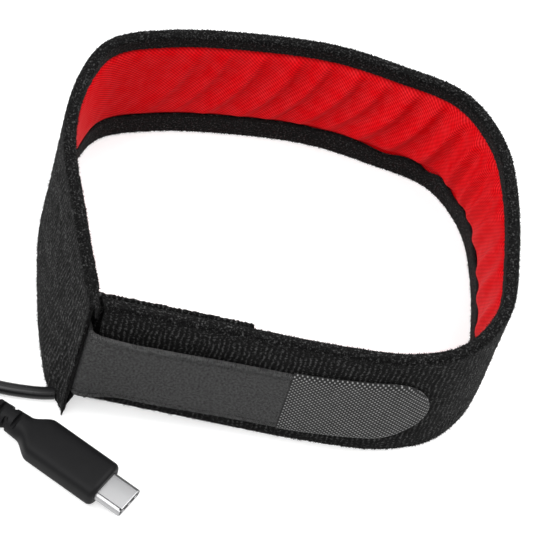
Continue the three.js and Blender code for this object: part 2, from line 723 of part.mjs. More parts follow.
// Slots cut in turn above and below, then at both sides, so that the sleeve bends
function sleeveSlots() {
  const tools = [];
  for (let i = 0; i < SLOT_COUNT; i += 1) {
    const x = -GRIP_LENGTH - FLARE_LENGTH - SLOT_START - i * SLOT_PITCH;
    const core = gripSize(x)[0] - SLOT_DEPTH;
    for (const side of [-1, 1]) {
      const centre = side * (core + SLEEVE_DIAMETER / 2);
      const wide = SLOT_SPREAD * SLEEVE_DIAMETER;
      const slot = i % 2
        ? new THREE.BoxGeometry(SLOT_WIDTH, SLEEVE_DIAMETER, wide)
        : new THREE.BoxGeometry(SLOT_WIDTH, wide, SLEEVE_DIAMETER);
      slot.translate(x, i % 2 ? centre : 0, i % 2 ? 0 : centre);
      tools.push(slot);
    }
  }
  return tools;
}

addPiece(plug, 'plug_grip', cutAway(gripBlank(), [
  alongX(stadium(SHELL_WIDTH + 2 * SHELL_FIT, SHELL_HEIGHT + 2 * SHELL_FIT), -SHELL_SEAT - SHELL_FIT, CUT_PAST),
  blockAlongX(CARD_WIDTH + 2 * CARD_ROOM, SHELL_HEIGHT, cardRear - CARD_ROOM, -SHELL_SEAT),
  ...sleeveSlots(),
]), materials.grip);

function plugShell() {
  const outline = stadium(SHELL_WIDTH, SHELL_HEIGHT);
  outline.holes.push(stadium(SHELL_WIDTH - 2 * SHELL_WALL, SHELL_HEIGHT - 2 * SHELL_WALL));
  const seamY = -(SHELL_WIDTH / 2 - SHELL_HEIGHT / 2 + SEAM_OFFSET);
  const seam = blockAlongX(
    SHELL_SEAM, SHELL_HEIGHT / 2, -SHELL_SEAT + SEAM_START, SHELL_REACH + CUT_PAST, seamY, SHELL_HEIGHT / 2,
  );
  const notch = blockAlongX(
    SEAM_NOTCH, SHELL_HEIGHT / 2, SHELL_REACH - SEAM_NOTCH, SHELL_REACH + CUT_PAST,
    seamY - SEAM_NOTCH / 2, SHELL_HEIGHT / 2,
  );
  return cutAway(alongX(outline, -SHELL_SEAT, SHELL_REACH, 1, 6), [seam, notch]);
}

addPiece(plug, 'plug_shell', plugShell(), materials.steel);

// Insert: the black moulding inside the shell, with the slot for the socket's tongue
const insertWidth = SHELL_WIDTH - 2 * SHELL_WALL - 2 * INSERT_FIT;
const insertHeight = SHELL_HEIGHT - 2 * SHELL_WALL - 2 * INSERT_FIT;
const insertFront = SHELL_REACH - INSERT_SETBACK;
const contactSeat = TONGUE_HEIGHT / 2 + CONTACT_THICKNESS / 2 + INSERT_FIT;
const latchY = TONGUE_WIDTH / 2 + INSERT_FIT + LATCH_THICKNESS / 2;

function contactY(pin) {
  return (pin - (CONTACT_COUNT + 1) / 2) * CONTACT_PITCH;
}

const contacts = [
  ...CONTACT_UPPER.map((pin) => [`contact_upper_${pin}`, contactY(pin), 1]),
  ...CONTACT_LOWER.map((pin) => [`contact_lower_${pin}`, contactY(pin), -1]),
];

function groundPads(side) {
  const pads = [-1, 0, 1].map((i) => [
    insertFront - PAD_LENGTH, insertFront, i * PAD_SPACING,
  ]);
  return { side, pads };
}

function plugInsert() {
  const tools = [
    blockAlongX(TONGUE_WIDTH, TONGUE_HEIGHT, insertFront - TONGUE_DEPTH, insertFront + CUT_PAST),
  ];
  for (const [, y, side] of contacts) {
    tools.push(blockAlongX(
      CONTACT_WIDTH + 2 * INSERT_FIT, CONTACT_THICKNESS + 3 * INSERT_FIT,
      -SHELL_SEAT - CUT_PAST, insertFront - 2 * PAD_LENGTH, y, side * contactSeat,
    ));
  }
  for (const side of [-1, 1]) {
    tools.push(blockAlongX(
      LATCH_THICKNESS + 2 * INSERT_FIT, TONGUE_HEIGHT, insertFront - LATCH_LENGTH - INSERT_FIT - LATCH_RECESS,
      insertFront - LATCH_RECESS, side * latchY,
    ));
    for (const [from, to, y] of groundPads(side).pads) {
      tools.push(blockAlongX(
        PAD_WIDTH + 2 * INSERT_FIT, insertHeight / 2, from - INSERT_FIT, to + CUT_PAST, y,
        side * (TONGUE_HEIGHT / 2 + insertHeight / 4 - INSERT_FIT),
      ));
    }
  }
  return cutAway(alongX(stadium(insertWidth, insertHeight), -SHELL_SEAT, insertFront), tools);
}

addPiece(plug, 'plug_insert', plugInsert(), materials.insert);

for (const [name, y, side] of contacts) {
  addPiece(plug, name, blockAlongX(
    CONTACT_WIDTH, CONTACT_THICKNESS, -SHELL_SEAT - CONTACT_TAIL, insertFront - 2 * PAD_LENGTH - INSERT_FIT, y,
    side * contactSeat,
  ), materials.gold);
}

for (const [name, side] of [['latch_spring_left', 1], ['latch_spring_right', -1]]) {
  addPiece(plug, name, blockAlongX(
    LATCH_THICKNESS, TONGUE_HEIGHT - 2 * INSERT_FIT, insertFront - LATCH_LENGTH - LATCH_RECESS,
    insertFront - LATCH_RECESS - INSERT_FIT, side * latchY,
  ), materials.steel);
}

// Ground springs: a thin plate against each wide wall of the shell with three pads in the mouth
function groundSpring(side) {
  const level = side * (TONGUE_HEIGHT / 2 + INSERT_FIT + SPRING_THICKNESS);
  const solids = groundPads(side).pads.map(([from, to, y]) => toSolid(
    blockAlongX(PAD_WIDTH, SPRING_THICKNESS, from, to, y, level),
  ));
  const bridge = toSolid(blockAlongX(
    2 * PAD_SPACING + PAD_WIDTH, SPRING_THICKNESS, insertFront + INSERT_FIT, insertFront + PAD_LENGTH / 2, 0,
    level,
  ));
  const links = groundPads(side).pads.map(([, to, y]) => toSolid(
    blockAlongX(PAD_WIDTH / 2, SPRING_THICKNESS, to - LINK_LAP, to + INSERT_FIT + LINK_LAP, y, level),
  ));
  return fromSolid([...solids, ...links].reduce((sum, part) => sum.add(part), bridge));
}

addPiece(plug, 'ground_spring_upper', groundSpring(1), materials.steel);
addPiece(plug, 'ground_spring_lower', groundSpring(-1), materials.steel);

addPiece(plug, 'plug_card', blockAlongX(
  CARD_WIDTH, CARD_THICKNESS, cardRear, -SHELL_SEAT - INSERT_FIT,
), materials.card);

// The band's footprint is centred on the origin, with its foot at z = 0
const part = new THREE.Group();
part.add(strip, lead);
const footprint = new THREE.Box3().setFromObject(strip).getCenter(new THREE.Vector3());
part.position.set(-footprint.x, -footprint.y, 0);
part.updateMatrixWorld(true);

export default part;
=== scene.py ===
"""Looks of a dew heater strip that stands as a closed loop, with its lead and flat plug.

The band is a black loop-pile cover with a gathered red liner, an elastic strap and a hook tab. Lengths are in
millimetres up to the point where a mesh is made, and in metres from there on.
"""

import logging
import math
from dataclasses import dataclass, field
from enum import Enum

import bpy
import numpy as np
from mathutils import Matrix, Vector


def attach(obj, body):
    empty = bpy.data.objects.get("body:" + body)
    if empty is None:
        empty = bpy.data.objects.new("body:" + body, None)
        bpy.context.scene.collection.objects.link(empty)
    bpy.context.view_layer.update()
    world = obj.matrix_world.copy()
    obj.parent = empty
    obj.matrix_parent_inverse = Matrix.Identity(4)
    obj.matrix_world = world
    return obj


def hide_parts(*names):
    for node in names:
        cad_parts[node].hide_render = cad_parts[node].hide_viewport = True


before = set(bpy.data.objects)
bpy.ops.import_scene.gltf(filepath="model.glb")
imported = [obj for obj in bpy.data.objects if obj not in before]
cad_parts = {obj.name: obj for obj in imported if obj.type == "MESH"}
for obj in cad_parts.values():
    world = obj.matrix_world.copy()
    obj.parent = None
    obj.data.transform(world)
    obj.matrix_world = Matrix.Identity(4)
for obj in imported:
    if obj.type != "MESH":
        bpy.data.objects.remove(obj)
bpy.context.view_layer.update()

LOG = logging.getLogger("dew_heater")
MM = 0.001
BODY = "root"
Colour = tuple[float, float, float, float]


class Weave(Enum):
    """How a webbing shows its threads: evenly, or as light specks on a dark ground."""

    EVEN = (0.3, 0.7)
    SPECKLED = (0.6, 0.85)


def linear(code: str) -> Colour:
    """Turns an sRGB hex value into a linear colour.

    Args:
        code: the colour as "#RRGGBB".

    Returns:
        Red, green, blue and an alpha of 1, linear.
    """
    parts = [int(code[i : i + 2], 16) / 255 for i in (1, 3, 5)]
    r, g, b = (p / 12.92 if p <= 0.04045 else ((p + 0.055) / 1.055) ** 2.4 for p in parts)
    return (r, g, b, 1.0)


def add_node(
    tree: bpy.types.NodeTree,
    kind: str,
    settings: dict[str, object] | None = None,
    values: dict[str | int, object] | None = None,
    links: dict[str | int, bpy.types.NodeSocket | bpy.types.Node] | None = None,
) -> bpy.types.Node:
    """Adds one node with its settings, socket values and links.

    Args:
        tree: the node tree that gets the node.
        kind: the shader node's type, without its common prefix.
        settings: properties of the node by name.
        values: unlinked inputs by name or place.
        links: inputs by name or place, each with the output that feeds it, or the node whose first output does.

    Returns:
        The new node.
    """
    node = tree.nodes.new(f"ShaderNode{kind}")
    for name, value in (settings or {}).items():
        setattr(node, name, value)
    for key, value in (values or {}).items():
        node.inputs[key].default_value = value
    for key, source in (links or {}).items():
        tree.links.new(source.outputs[0] if isinstance(source, bpy.types.Node) else source, node.inputs[key])
    return node


def background_rays(tree: bpy.types.NodeTree) -> bpy.types.NodeSocket:
    """Adds the test for the rays that show a white background: the camera's, glossy and transmitted ones.

    Args:
        tree: the node tree.

    Returns:
        An output that is 1 for those rays and 0 for the rest.
    """
    path = add_node(tree, "LightPath")
    glossy = add_node(
        tree, "Math", {"operation": "MAXIMUM"},
        links={0: path.outputs["Is Camera Ray"], 1: path.outputs["Is Glossy Ray"]},
    )
    return add_node(
        tree, "Math", {"operation": "MAXIMUM"}, links={0: glossy, 1: path.outputs["Is Transmission Ray"]},
    ).outputs[0]


def smooth(value: np.ndarray | float, low: float, high: float) -> np.ndarray:
    """Rises smoothly from 0 at low to 1 at high."""
    share = np.clip((np.asarray(value, dtype=float) - low) / (high - low), 0, 1)
    return share * share * (3 - 2 * share)


@dataclass(frozen=True)
class Finish:
    """What every finish shares: a name, and the shader that the subclass dresses."""

    name: str

    def start(self) -> tuple[bpy.types.NodeTree, bpy.types.Node]:
        """Makes the material with its shader.

        Returns:
            The node tree and the shader.
        """
        material = bpy.data.materials.new(self.name)
        material.use_nodes = True
        return material.node_tree, material.node_tree.nodes["Principled BSDF"]

    def dress(self, tree: bpy.types.NodeTree, shader: bpy.types.Node) -> None:
        """Sets the shader; each finish has its own."""
        raise NotImplementedError

    def make(self) -> bpy.types.Material:
        """Makes the material, once for each name."""
        if self.name not in bpy.data.materials:
            tree, shader = self.start()
            self.dress(tree, shader)
        return bpy.data.materials[self.name]


def cloth_coordinates(tree: bpy.types.NodeTree) -> tuple[bpy.types.Node, bpy.types.Node]:
    """Reads the distances along and up the cloth, in millimetres, that each fabric mesh carries.

    Args:
        tree: the node tree.

    Returns:
        The attribute node and the node that splits it.
    """
    place = add_node(tree, "Attribute", {"attribute_name": "cloth_mm"})
    split = add_node(tree, "SeparateXYZ", links={0: place.outputs["Vector"]})
    return place, split


@dataclass(frozen=True)
class LoopPile(Finish):
    """Warp-knitted polyester loop pile, brushed: matt black loops in wales that break up into tufts.

    The tufts are drawn at 0.5 mm, coarser than single loops, so that they show.
    """

    name: str = "loop_pile_black"
    deep: str = "#030303"
    loop: str = "#131313"
    # tip is a painted highlight colour for the pile's raised tufts, where sheen would catch.
    tip: str = "#4A4A4A"
    wale_mm: float = 1.15
    tuft_mm: float = 0.5
    bump_mm: float = 0.22

    def dress(self, tree: bpy.types.NodeTree, shader: bpy.types.Node) -> None:
        """Builds wales and tufts, and paints highlight on the raised tips of the pile."""
        place, split = cloth_coordinates(tree)
        wander = add_node(
            tree, "TexNoise", {"noise_dimensions": "3D"},
            {"Scale": 1 / (4 * self.wale_mm), "Detail": 2.0}, {"Vector": place.outputs["Vector"]},
        )
        shifted = add_node(
            tree, "Math", {"operation": "MULTIPLY_ADD"}, {1: 1.6 * self.wale_mm},
            {0: wander, 2: split.outputs["X"]},
        )
        phase = add_node(
            tree, "Math", {"operation": "MULTIPLY"}, {1: 2 * math.pi / self.wale_mm}, {0: shifted},
        )
        wale = add_node(tree, "Math", {"operation": "SINE"}, links={0: phase})
        wale_share = add_node(tree, "MapRange", values={"From Min": -1.0, "From Max": 1.0}, links={0: wale})
        squeezed = add_node(
            tree, "VectorMath", {"operation": "MULTIPLY"}, {1: (1.0, 0.62, 1.0)},
            {0: place.outputs["Vector"]},
        )
        tufts = add_node(
            tree, "TexNoise", {"noise_dimensions": "3D"},
            {"Scale": 1 / self.tuft_mm, "Detail": 3.0, "Roughness": 0.65}, {"Vector": squeezed},
        )
        ribbed = add_node(tree, "Attribute", {"attribute_name": "ribbed"})
        rows = add_node(
            tree, "Mix", {"data_type": "FLOAT"}, {2: 0.5}, {0: ribbed.outputs["Fac"], 3: wale_share},
        )
        height = add_node(tree, "Math", {"operation": "MULTIPLY_ADD"}, {1: 0.2}, {0: rows, 2: tufts})
        body = add_node(
            tree, "MapRange", {"interpolation_type": "SMOOTHSTEP"},
            {"From Min": 0.46, "From Max": 0.72}, {0: height},
        )
        # Painted highlight: the highest places of the pile relief turn to the tip colour, like sheen on fibre
        # ends.
        tips = add_node(
            tree, "MapRange", {"interpolation_type": "SMOOTHSTEP"},
            {"From Min": 0.64, "From Max": 0.8}, {0: height},
        )
        base = add_node(
            tree, "Mix", {"data_type": "RGBA"}, {6: linear(self.deep), 7: linear(self.loop)}, {0: body},
        )
        colour = add_node(
            tree, "Mix", {"data_type": "RGBA"}, {7: linear(self.tip)}, {0: tips, 6: base.outputs[2]},
        )
        bump = add_node(
            tree, "Bump", values={"Strength": 0.9, "Distance": self.bump_mm * MM}, links={"Height": height},
        )
        tree.links.new(colour.outputs[2], shader.inputs["Base Color"])
        tree.links.new(bump.outputs[0], shader.inputs["Normal"])
        shader.inputs["Roughness"].default_value = 0.95
        shader.inputs["Specular IOR Level"].default_value = 0.05
        shader.inputs["Sheen Weight"].default_value = 0.04
        shader.inputs["Sheen Roughness"].default_value = 0.55


@dataclass(frozen=True)
class TwillNylon(Finish):
    """Filament nylon twill, woven and dyed red: a satin cloth with diagonal ribs, with painted highlight in
    soft patches on the ribs.
    """

    name: str = "nylon_twill_red"
    valley: str = "#B00008"
    rib: str = "#EC0F18"
    # lit is a painted highlight colour that the ribs turn to in soft patches.
    lit: str = "#F63A40"
    rib_mm: float = 1.05
    pick_mm: float = 0.5
    slant: float = -1.4
    bump_mm: float = 0.05

    def dress(self, tree: bpy.types.NodeTree, shader: bpy.types.Node) -> None:
        """Builds the twill's ribs and the picks across them, both drawn coarser than the real 0.3 mm, and
        paints highlight on the ribs in soft patches.
        """
        place, split = cloth_coordinates(tree)
        leaning = add_node(
            tree, "Math", {"operation": "MULTIPLY_ADD"}, {1: self.slant},
            {0: split.outputs["Z"], 2: split.outputs["X"]},
        )
        rib_phase = add_node(
            tree, "Math", {"operation": "MULTIPLY"}, {1: 2 * math.pi / self.rib_mm}, {0: leaning},
        )
        rib = add_node(tree, "Math", {"operation": "SINE"}, links={0: rib_phase})
        pick_phase = add_node(
            tree, "Math", {"operation": "MULTIPLY_ADD"}, {1: 2 * math.pi / self.pick_mm},
            {0: split.outputs["Z"], 2: rib_phase},
        )
        pick = add_node(tree, "Math", {"operation": "SINE"}, links={0: pick_phase})
        weave = add_node(tree, "Math", {"operation": "MULTIPLY_ADD"}, {1: 0.35}, {0: pick, 2: rib})
        height = add_node(tree, "MapRange", values={"From Min": -1.35, "From Max": 1.35}, links={0: weave})
        # Painted highlight: soft noise patches lighten the ribs towards the lit colour.
        shade = add_node(
            tree, "TexNoise", values={"Scale": 0.35, "Detail": 3.0},
            links={"Vector": place.outputs["Vector"]},
        )
        lit = add_node(
            tree, "MapRange", values={"From Min": 0.35, "From Max": 0.7, "To Max": 0.5}, links={0: shade},
        )
        ribs = add_node(
            tree, "Mix", {"data_type": "RGBA"}, {6: linear(self.rib), 7: linear(self.lit)}, {0: lit},
        )
        colour = add_node(
            tree, "Mix", {"data_type": "RGBA"}, {6: linear(self.valley)}, {0: height, 7: ribs.outputs[2]},
        )
        bump = add_node(
            tree, "Bump", values={"Strength": 0.7, "Distance": self.bump_mm * MM}, links={"Height": height},
        )
        tree.links.new(colour.outputs[2], shader.inputs["Base Color"])
        tree.links.new(bump.outputs[0], shader.inputs["Normal"])
        shader.inputs["Roughness"].default_value = 0.62
        shader.inputs["Specular IOR Level"].default_value = 0.04


@dataclass(frozen=True)
class Webbing(Finish):
    """Woven polyester webbing: a fine even grain of threads, matt, darker between them.

    The threads are drawn coarser than the real 0.3 mm, so that they show.
    """

    name: str = "elastic_webbing_grey"
    valley: str = "#121212"
    thread: str = "#565656"
    thread_mm: float = 0.5
    pick_mm: float = 0.5
    grain: float = 0.75
    bump_mm: float = 0.06
    roughness: float = 0.85
    weave: Weave = Weave.EVEN

    def dress(self, tree: bpy.types.NodeTree, shader: bpy.types.Node) -> None:
        """Builds the crossing threads with an uneven grain over them."""
        place, split = cloth_coordinates(tree)
        waves = []
        for output, pitch in (("X", self.thread_mm), ("Z", self.pick_mm)):
            phase = add_node(
                tree, "Math", {"operation": "MULTIPLY"}, {1: 2 * math.pi / pitch}, {0: split.outputs[output]},
            )
            waves.append(add_node(tree, "Math", {"operation": "SINE"}, links={0: phase}))
        crossing = add_node(tree, "Math", {"operation": "MULTIPLY"}, links={0: waves[0], 1: waves[1]})
        grain = add_node(
            tree, "TexNoise", values={"Scale": 1 / self.thread_mm, "Detail": 2.0, "Roughness": 0.7},
            links={"Vector": place.outputs["Vector"]},
        )
        raised = add_node(tree, "MapRange", values={"From Min": -1.0, "From Max": 1.0}, links={0: crossing})
        height = add_node(tree, "Mix", {"data_type": "FLOAT"}, {0: self.grain}, {2: raised, 3: grain})
        low, high = self.weave.value
        spread = add_node(tree, "MapRange", values={"From Min": low, "From Max": high}, links={0: height})
        colour = add_node(
            tree, "Mix", {"data_type": "RGBA"}, {6: linear(self.valley), 7: linear(self.thread)}, {0: spread},
        )
        bump = add_node(
            tree, "Bump", values={"Strength": 0.6, "Distance": self.bump_mm * MM}, links={"Height": spread},
        )
        tree.links.new(colour.outputs[2], shader.inputs["Base Color"])
        tree.links.new(bump.outputs[0], shader.inputs["Normal"])
        shader.inputs["Roughness"].default_value = self.roughness
        shader.inputs["Specular IOR Level"].default_value = 0.1
        shader.inputs["Sheen Weight"].default_value = 0.05


@dataclass(frozen=True)
class Moulded(Finish):
    """Moulded or extruded polymer with a fine skin texture: satin, with faint flow mottling."""

    name: str = "moulded_elastomer_black"
    colour: str = "#2E2E30"
    mottle: str = "#353538"
    roughness: float = 0.48
    ior: float = 1.5
    grain_mm: float = 0.12
    bump_mm: float = 0.012
    coat: float = 0.0
    specular: float = 0.5

    def dress(self, tree: bpy.types.NodeTree, shader: bpy.types.Node) -> None:
        """Builds the mottling and the skin's grain."""
        place = add_node(tree, "TexCoord")
        mottling = add_node(
            tree, "TexNoise", values={"Scale": 400.0, "Detail": 3.0},
            links={"Vector": place.outputs["Object"]},
        )
        grain = add_node(
            tree, "TexNoise", values={"Scale": 1000 / self.grain_mm, "Detail": 2.0},
            links={"Vector": place.outputs["Object"]},
        )
        colour = add_node(
            tree, "Mix", {"data_type": "RGBA"}, {6: linear(self.colour), 7: linear(self.mottle)},
            {0: mottling},
        )
        gloss = add_node(
            tree, "MapRange",
            values={"To Min": self.roughness - 0.05, "To Max": self.roughness + 0.06},
            links={0: mottling},
        )
        bump = add_node(
            tree, "Bump", values={"Strength": 0.5, "Distance": self.bump_mm * MM}, links={"Height": grain},
        )
        tree.links.new(colour.outputs[2], shader.inputs["Base Color"])
        tree.links.new(gloss.outputs[0], shader.inputs["Roughness"])
        tree.links.new(bump.outputs[0], shader.inputs["Normal"])
        shader.inputs["IOR"].default_value = self.ior
        shader.inputs["Specular IOR Level"].default_value = self.specular
        shader.inputs["Coat Weight"].default_value = self.coat
        shader.inputs["Coat Roughness"].default_value = 0.2


@dataclass(frozen=True)
class Metal(Finish):
    """Plated metal: drawn or stamped, then plated, with fine rub marks along the part."""

    name: str = "nickel_plated_steel"
    colour: str = "#A0A0A1"
    roughness: float = 0.33
    rub_mm: float = 0.25

    def dress(self, tree: bpy.types.NodeTree, shader: bpy.types.Node) -> None:
        """Builds the rub marks in the roughness."""
        place = add_node(tree, "TexCoord")
        stretched = add_node(
            tree, "VectorMath", {"operation": "MULTIPLY"}, {1: (1.0, 1.0, 0.25)},
            {0: place.outputs["Object"]},
        )
        rubs = add_node(
            tree, "TexNoise", values={"Scale": 1000 / self.rub_mm, "Detail": 4.0},
            links={"Vector": stretched},
        )
        gloss = add_node(
            tree, "MapRange",
            values={"To Min": self.roughness - 0.06, "To Max": self.roughness + 0.1}, links={0: rubs},
        )
        tree.links.new(gloss.outputs[0], shader.inputs["Roughness"])
        shader.inputs["Base Color"].default_value = linear(self.colour)
        shader.inputs["Metallic"].default_value = 1.0


# Soft finishes: black pile, red satin twill, the grainy grey strap, the tab's light specks on a dark ground,
# and the ties.
PILE = LoopPile()
LINER = TwillNylon()
STRAP = Webbing()
HOOK_BACK = Webbing(
    "hook_tape_grey", valley="#2E2E2E", thread="#A6A6A6", thread_mm=1.1, pick_mm=1.1, grain=0.22, bump_mm=0.08,
    roughness=0.8, weave=Weave.SPECKLED,
)
TIE = Webbing("woven_tie_black", valley="#101011", thread="#2C2C2E", thread_mm=0.6, pick_mm=0.6)
# Pale glass cloth that carries the wire.
CARRIER = Webbing("glass_cloth_tape", valley="#A8A498", thread="#D8D4C8", thread_mm=0.7, pick_mm=0.7)
# Polymers: the lead's glossy skin, the grip's satin skin, dull foam, the insert, bright cores, a green card.
JACKET = Moulded("extruded_jacket_grey", "#171718", "#1D1D1E", roughness=0.28, coat=0.12, specular=0.25)
GRIP = Moulded("moulded_elastomer_grip", "#101011", "#161617", roughness=0.5, specular=0.1)
FOAM = Moulded("closed_cell_foam", "#38383A", "#424245", roughness=0.95, grain_mm=0.4, bump_mm=0.1)
INSERT = Moulded("moulded_liquid_crystal_polymer", "#0B0B0C", "#101012", roughness=0.5, ior=1.6)
RED_CORE = Moulded("silicone_insulation_red", "#A81C1C", "#B42424", roughness=0.5, ior=1.41)
BLACK_CORE = Moulded("silicone_insulation_black", "#151515", "#1C1C1D", roughness=0.5, ior=1.41)
CARD = Moulded("solder_masked_laminate", "#17502E", "#1D5C36", roughness=0.35, coat=0.3)
# Metals: the grey shell, brighter springs, the dull wire, gold contacts.
SHELL = Metal()
SPRING = Metal("stamped_spring_steel", "#C4C4C6", 0.3)
WIRE = Metal("drawn_nickel_chrome_wire", "#9A9A9C", 0.35)
GOLD = Metal("gold_plated_contact", "#E2BD66", 0.25)


@dataclass
class BandPath:
    """Where a place on the band lies: distance along it, distance out from its inner face, and height."""

    height: float = 35.2
    thickness: float = 3.0
    end_gap: float = 0.5
    start_bevel: float = 1.15
    start_spread: float = 2.4
    start_run: float = 12.0
    lean: float = 5.2
    lean_length: float = 68.0
    curl: float = 2.2
    curl_length: float = 9.0
    slant: float = 4.4
    crown: float = 0.3
    crown_depth: float = 8.0
    slant_length: float = 22.0
    shift: tuple[float, float] = (-0.378, -6.631)
    points: tuple[tuple[float, float], ...] = (
        (-30.7, -35.5), (-5.7, -32.2), (21.2, -28.4), (36.6, -24.6), (46.8, -18.1), (52.8, -5),
        (51.7, 11), (47.8, 30), (42.5, 43), (32.2, 52.9), (16, 54.9), (0.4, 54.8),
        (-18.2, 50.5), (-36.7, 43.7), (-48.9, 35.6), (-52, 24.3), (-50.5, 6.8), (-40.7, -17),
    )
    line: np.ndarray = field(init=False)
    travel: np.ndarray = field(init=False)
    length: float = field(init=False)

    def __post_init__(self) -> None:
        """Samples the centripetal curve through the points and the sewn end."""
        points = np.array(self.points)
        run = points[1] - points[0]
        run = run / np.linalg.norm(run)
        sewn = points[0] - run * self.end_gap + np.array([run[1], -run[0]]) * self.thickness
        self.line = centripetal(np.vstack([points, sewn]), 240)
        steps = np.linalg.norm(np.diff(self.line, axis=0), axis=1)
        self.travel = np.concatenate([[0], np.cumsum(steps)])
        self.length = float(self.travel[-1])

    def place(self, along: np.ndarray, out: np.ndarray, height: np.ndarray) -> np.ndarray:
        """Gives points in the part's frame, in millimetres.

        Args:
            along: distance along the band from its tucked end.
            out: distance out from its inner face.
            height: height above its foot.

        Returns:
            An array of points with a last axis of 3.
        """
        along, out, height = np.broadcast_arrays(*(np.asarray(v, dtype=float) for v in (along, out, height)))
        drop = 1 - height / self.height
        bevel = (self.start_bevel + self.start_spread * drop) * np.clip(1 - out / self.thickness, 0, None)
        slant = self.slant * drop - self.crown * smooth(height, self.height - self.crown_depth, self.height)
        slanted = along - bevel * (1 - smooth(along, 0, self.start_run))
        slanted = slanted + slant * smooth(along, self.length - self.slant_length, self.length)
        held = np.clip(slanted, 0, self.length)
        x = np.interp(held, self.travel, self.line[:, 0])
        y = np.interp(held, self.travel, self.line[:, 1])
        ahead = np.clip(held + 0.4, 0, self.length)
        behind = np.clip(held - 0.4, 0, self.length)
        tx = np.interp(ahead, self.travel, self.line[:, 0]) - np.interp(behind, self.travel, self.line[:, 0])
        ty = np.interp(ahead, self.travel, self.line[:, 1]) - np.interp(behind, self.travel, self.line[:, 1])
        size = np.hypot(tx, ty)
        tx, ty = tx / size, ty / size
        lean = self.lean * smooth(along, self.length - self.lean_length, self.length - self.curl_length)
        lean = lean - self.curl * smooth(along, self.length - self.curl_length, self.length)
        reach = out + lean * drop
        past = slanted - held
        return np.stack([
            x + tx * past + ty * reach + self.shift[0], y + ty * past - tx * reach + self.shift[1], height,
        ], axis=-1)


def centripetal(points: np.ndarray, divisions: int) -> np.ndarray:
    """Samples a centripetal Catmull-Rom curve.

    Args:
        points: the points that it goes through.
        divisions: samples between two points.

    Returns:
        The sampled line.
    """
    ends = np.vstack([2 * points[0] - points[1], points, 2 * points[-1] - points[-2]])
    share = np.linspace(0, 1, divisions, endpoint=False)[:, None]
    pieces = []
    for i in range(len(points) - 1):
        a, b, c, d = ends[i : i + 4]
        first, second, third = (
            max(np.linalg.norm(q - p) ** 0.5, 1e-4) for p, q in ((a, b), (b, c), (c, d))
        )
        start = ((b - a) / first - (c - a) / (first + second) + (c - b) / second) * second
        end = ((c - b) / second - (d - b) / (second + third) + (d - c) / third) * second
        square, cube = share**2, share**3
        pieces.append(
            b + start * share + (-3 * b + 3 * c - 2 * start - end) * square
            + (2 * b - 2 * c + start + end) * cube
        )
    return np.vstack([*pieces, points[-1:]])


BAND = BandPath()


def mesh_object(name: str, points: np.ndarray, faces: np.ndarray | list, finish: Finish) -> bpy.types.Object:
    """Makes a smooth-shaded mesh object with its material.

    Args:
        name: the piece's name.
        points: its vertices, in millimetres.
        faces: its faces.
        finish: its finish.

    Returns:
        The object, in the scene.
    """
    mesh = bpy.data.meshes.new(name)
    metres = (np.asarray(points, dtype=float) * MM).tolist()
    mesh.from_pydata(metres, [], [tuple(int(i) for i in face) for face in faces])
    mesh.shade_smooth()
    mesh.materials.append(finish.make())
    piece = bpy.data.objects.new(name, mesh)
    bpy.context.scene.collection.objects.link(piece)
    return piece


def note_cloth(piece: bpy.types.Object, places: np.ndarray, ribbed: np.ndarray | None = None) -> None:
    """Stores each vertex's distances along, through and up the cloth, in millimetres, for the weave.

    Args:
        piece: the fabric piece.
        places: one row of three for each vertex.
        ribbed: how strongly the pile's rows show at each vertex, if they do.
    """
    layer = piece.data.attributes.new("cloth_mm", "FLOAT_VECTOR", "POINT")
    layer.data.foreach_set("vector", np.asarray(places, dtype=np.float32).ravel())
    if ribbed is not None:
        layer = piece.data.attributes.new("ribbed", "FLOAT", "POINT")
        layer.data.foreach_set("value", np.asarray(ribbed, dtype=np.float32).ravel())


def grid_faces(rows: int, columns: int, ring: bool, caps: bool = True) -> list[tuple[int, ...]]:
    """Faces of a grid of rows by columns, stored row after row.

    Args:
        rows: number of rows.
        columns: number of columns.
        ring: whether each row closes on itself.
        caps: whether the first and last rows get a face.

    Returns:
        The faces.
    """
    last = columns if ring else columns - 1
    faces: list[tuple[int, ...]] = []
    for r in range(rows - 1):
        for c in range(last):
            d = (c + 1) % columns
            faces.append((r * columns + c, r * columns + d, (r + 1) * columns + d, (r + 1) * columns + c))
    if ring and caps:
        faces.append(tuple(range(columns))[::-1])
        faces.append(tuple((rows - 1) * columns + c for c in range(columns)))
    return faces


def faces_out(piece: bpy.types.Object) -> None:
    """Turns every face of a closed mesh outwards."""
    import bmesh

    work = bmesh.new()
    work.from_mesh(piece.data)
    bmesh.ops.recalc_face_normals(work, faces=work.faces[:])
    work.to_mesh(piece.data)
    work.free()


def finish_piece(piece: bpy.types.Object, slot: str, *nodes: str) -> bpy.types.Object:
    """Rides the piece on the body, and lets it stand for CAD nodes.

    Args:
        piece: the new piece.
        slot: not used.
        nodes: the CAD nodes that it replaces.

    Returns:
        The same piece.
    """
    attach(piece, BODY)
    if nodes:
        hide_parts(*nodes)
    return piece


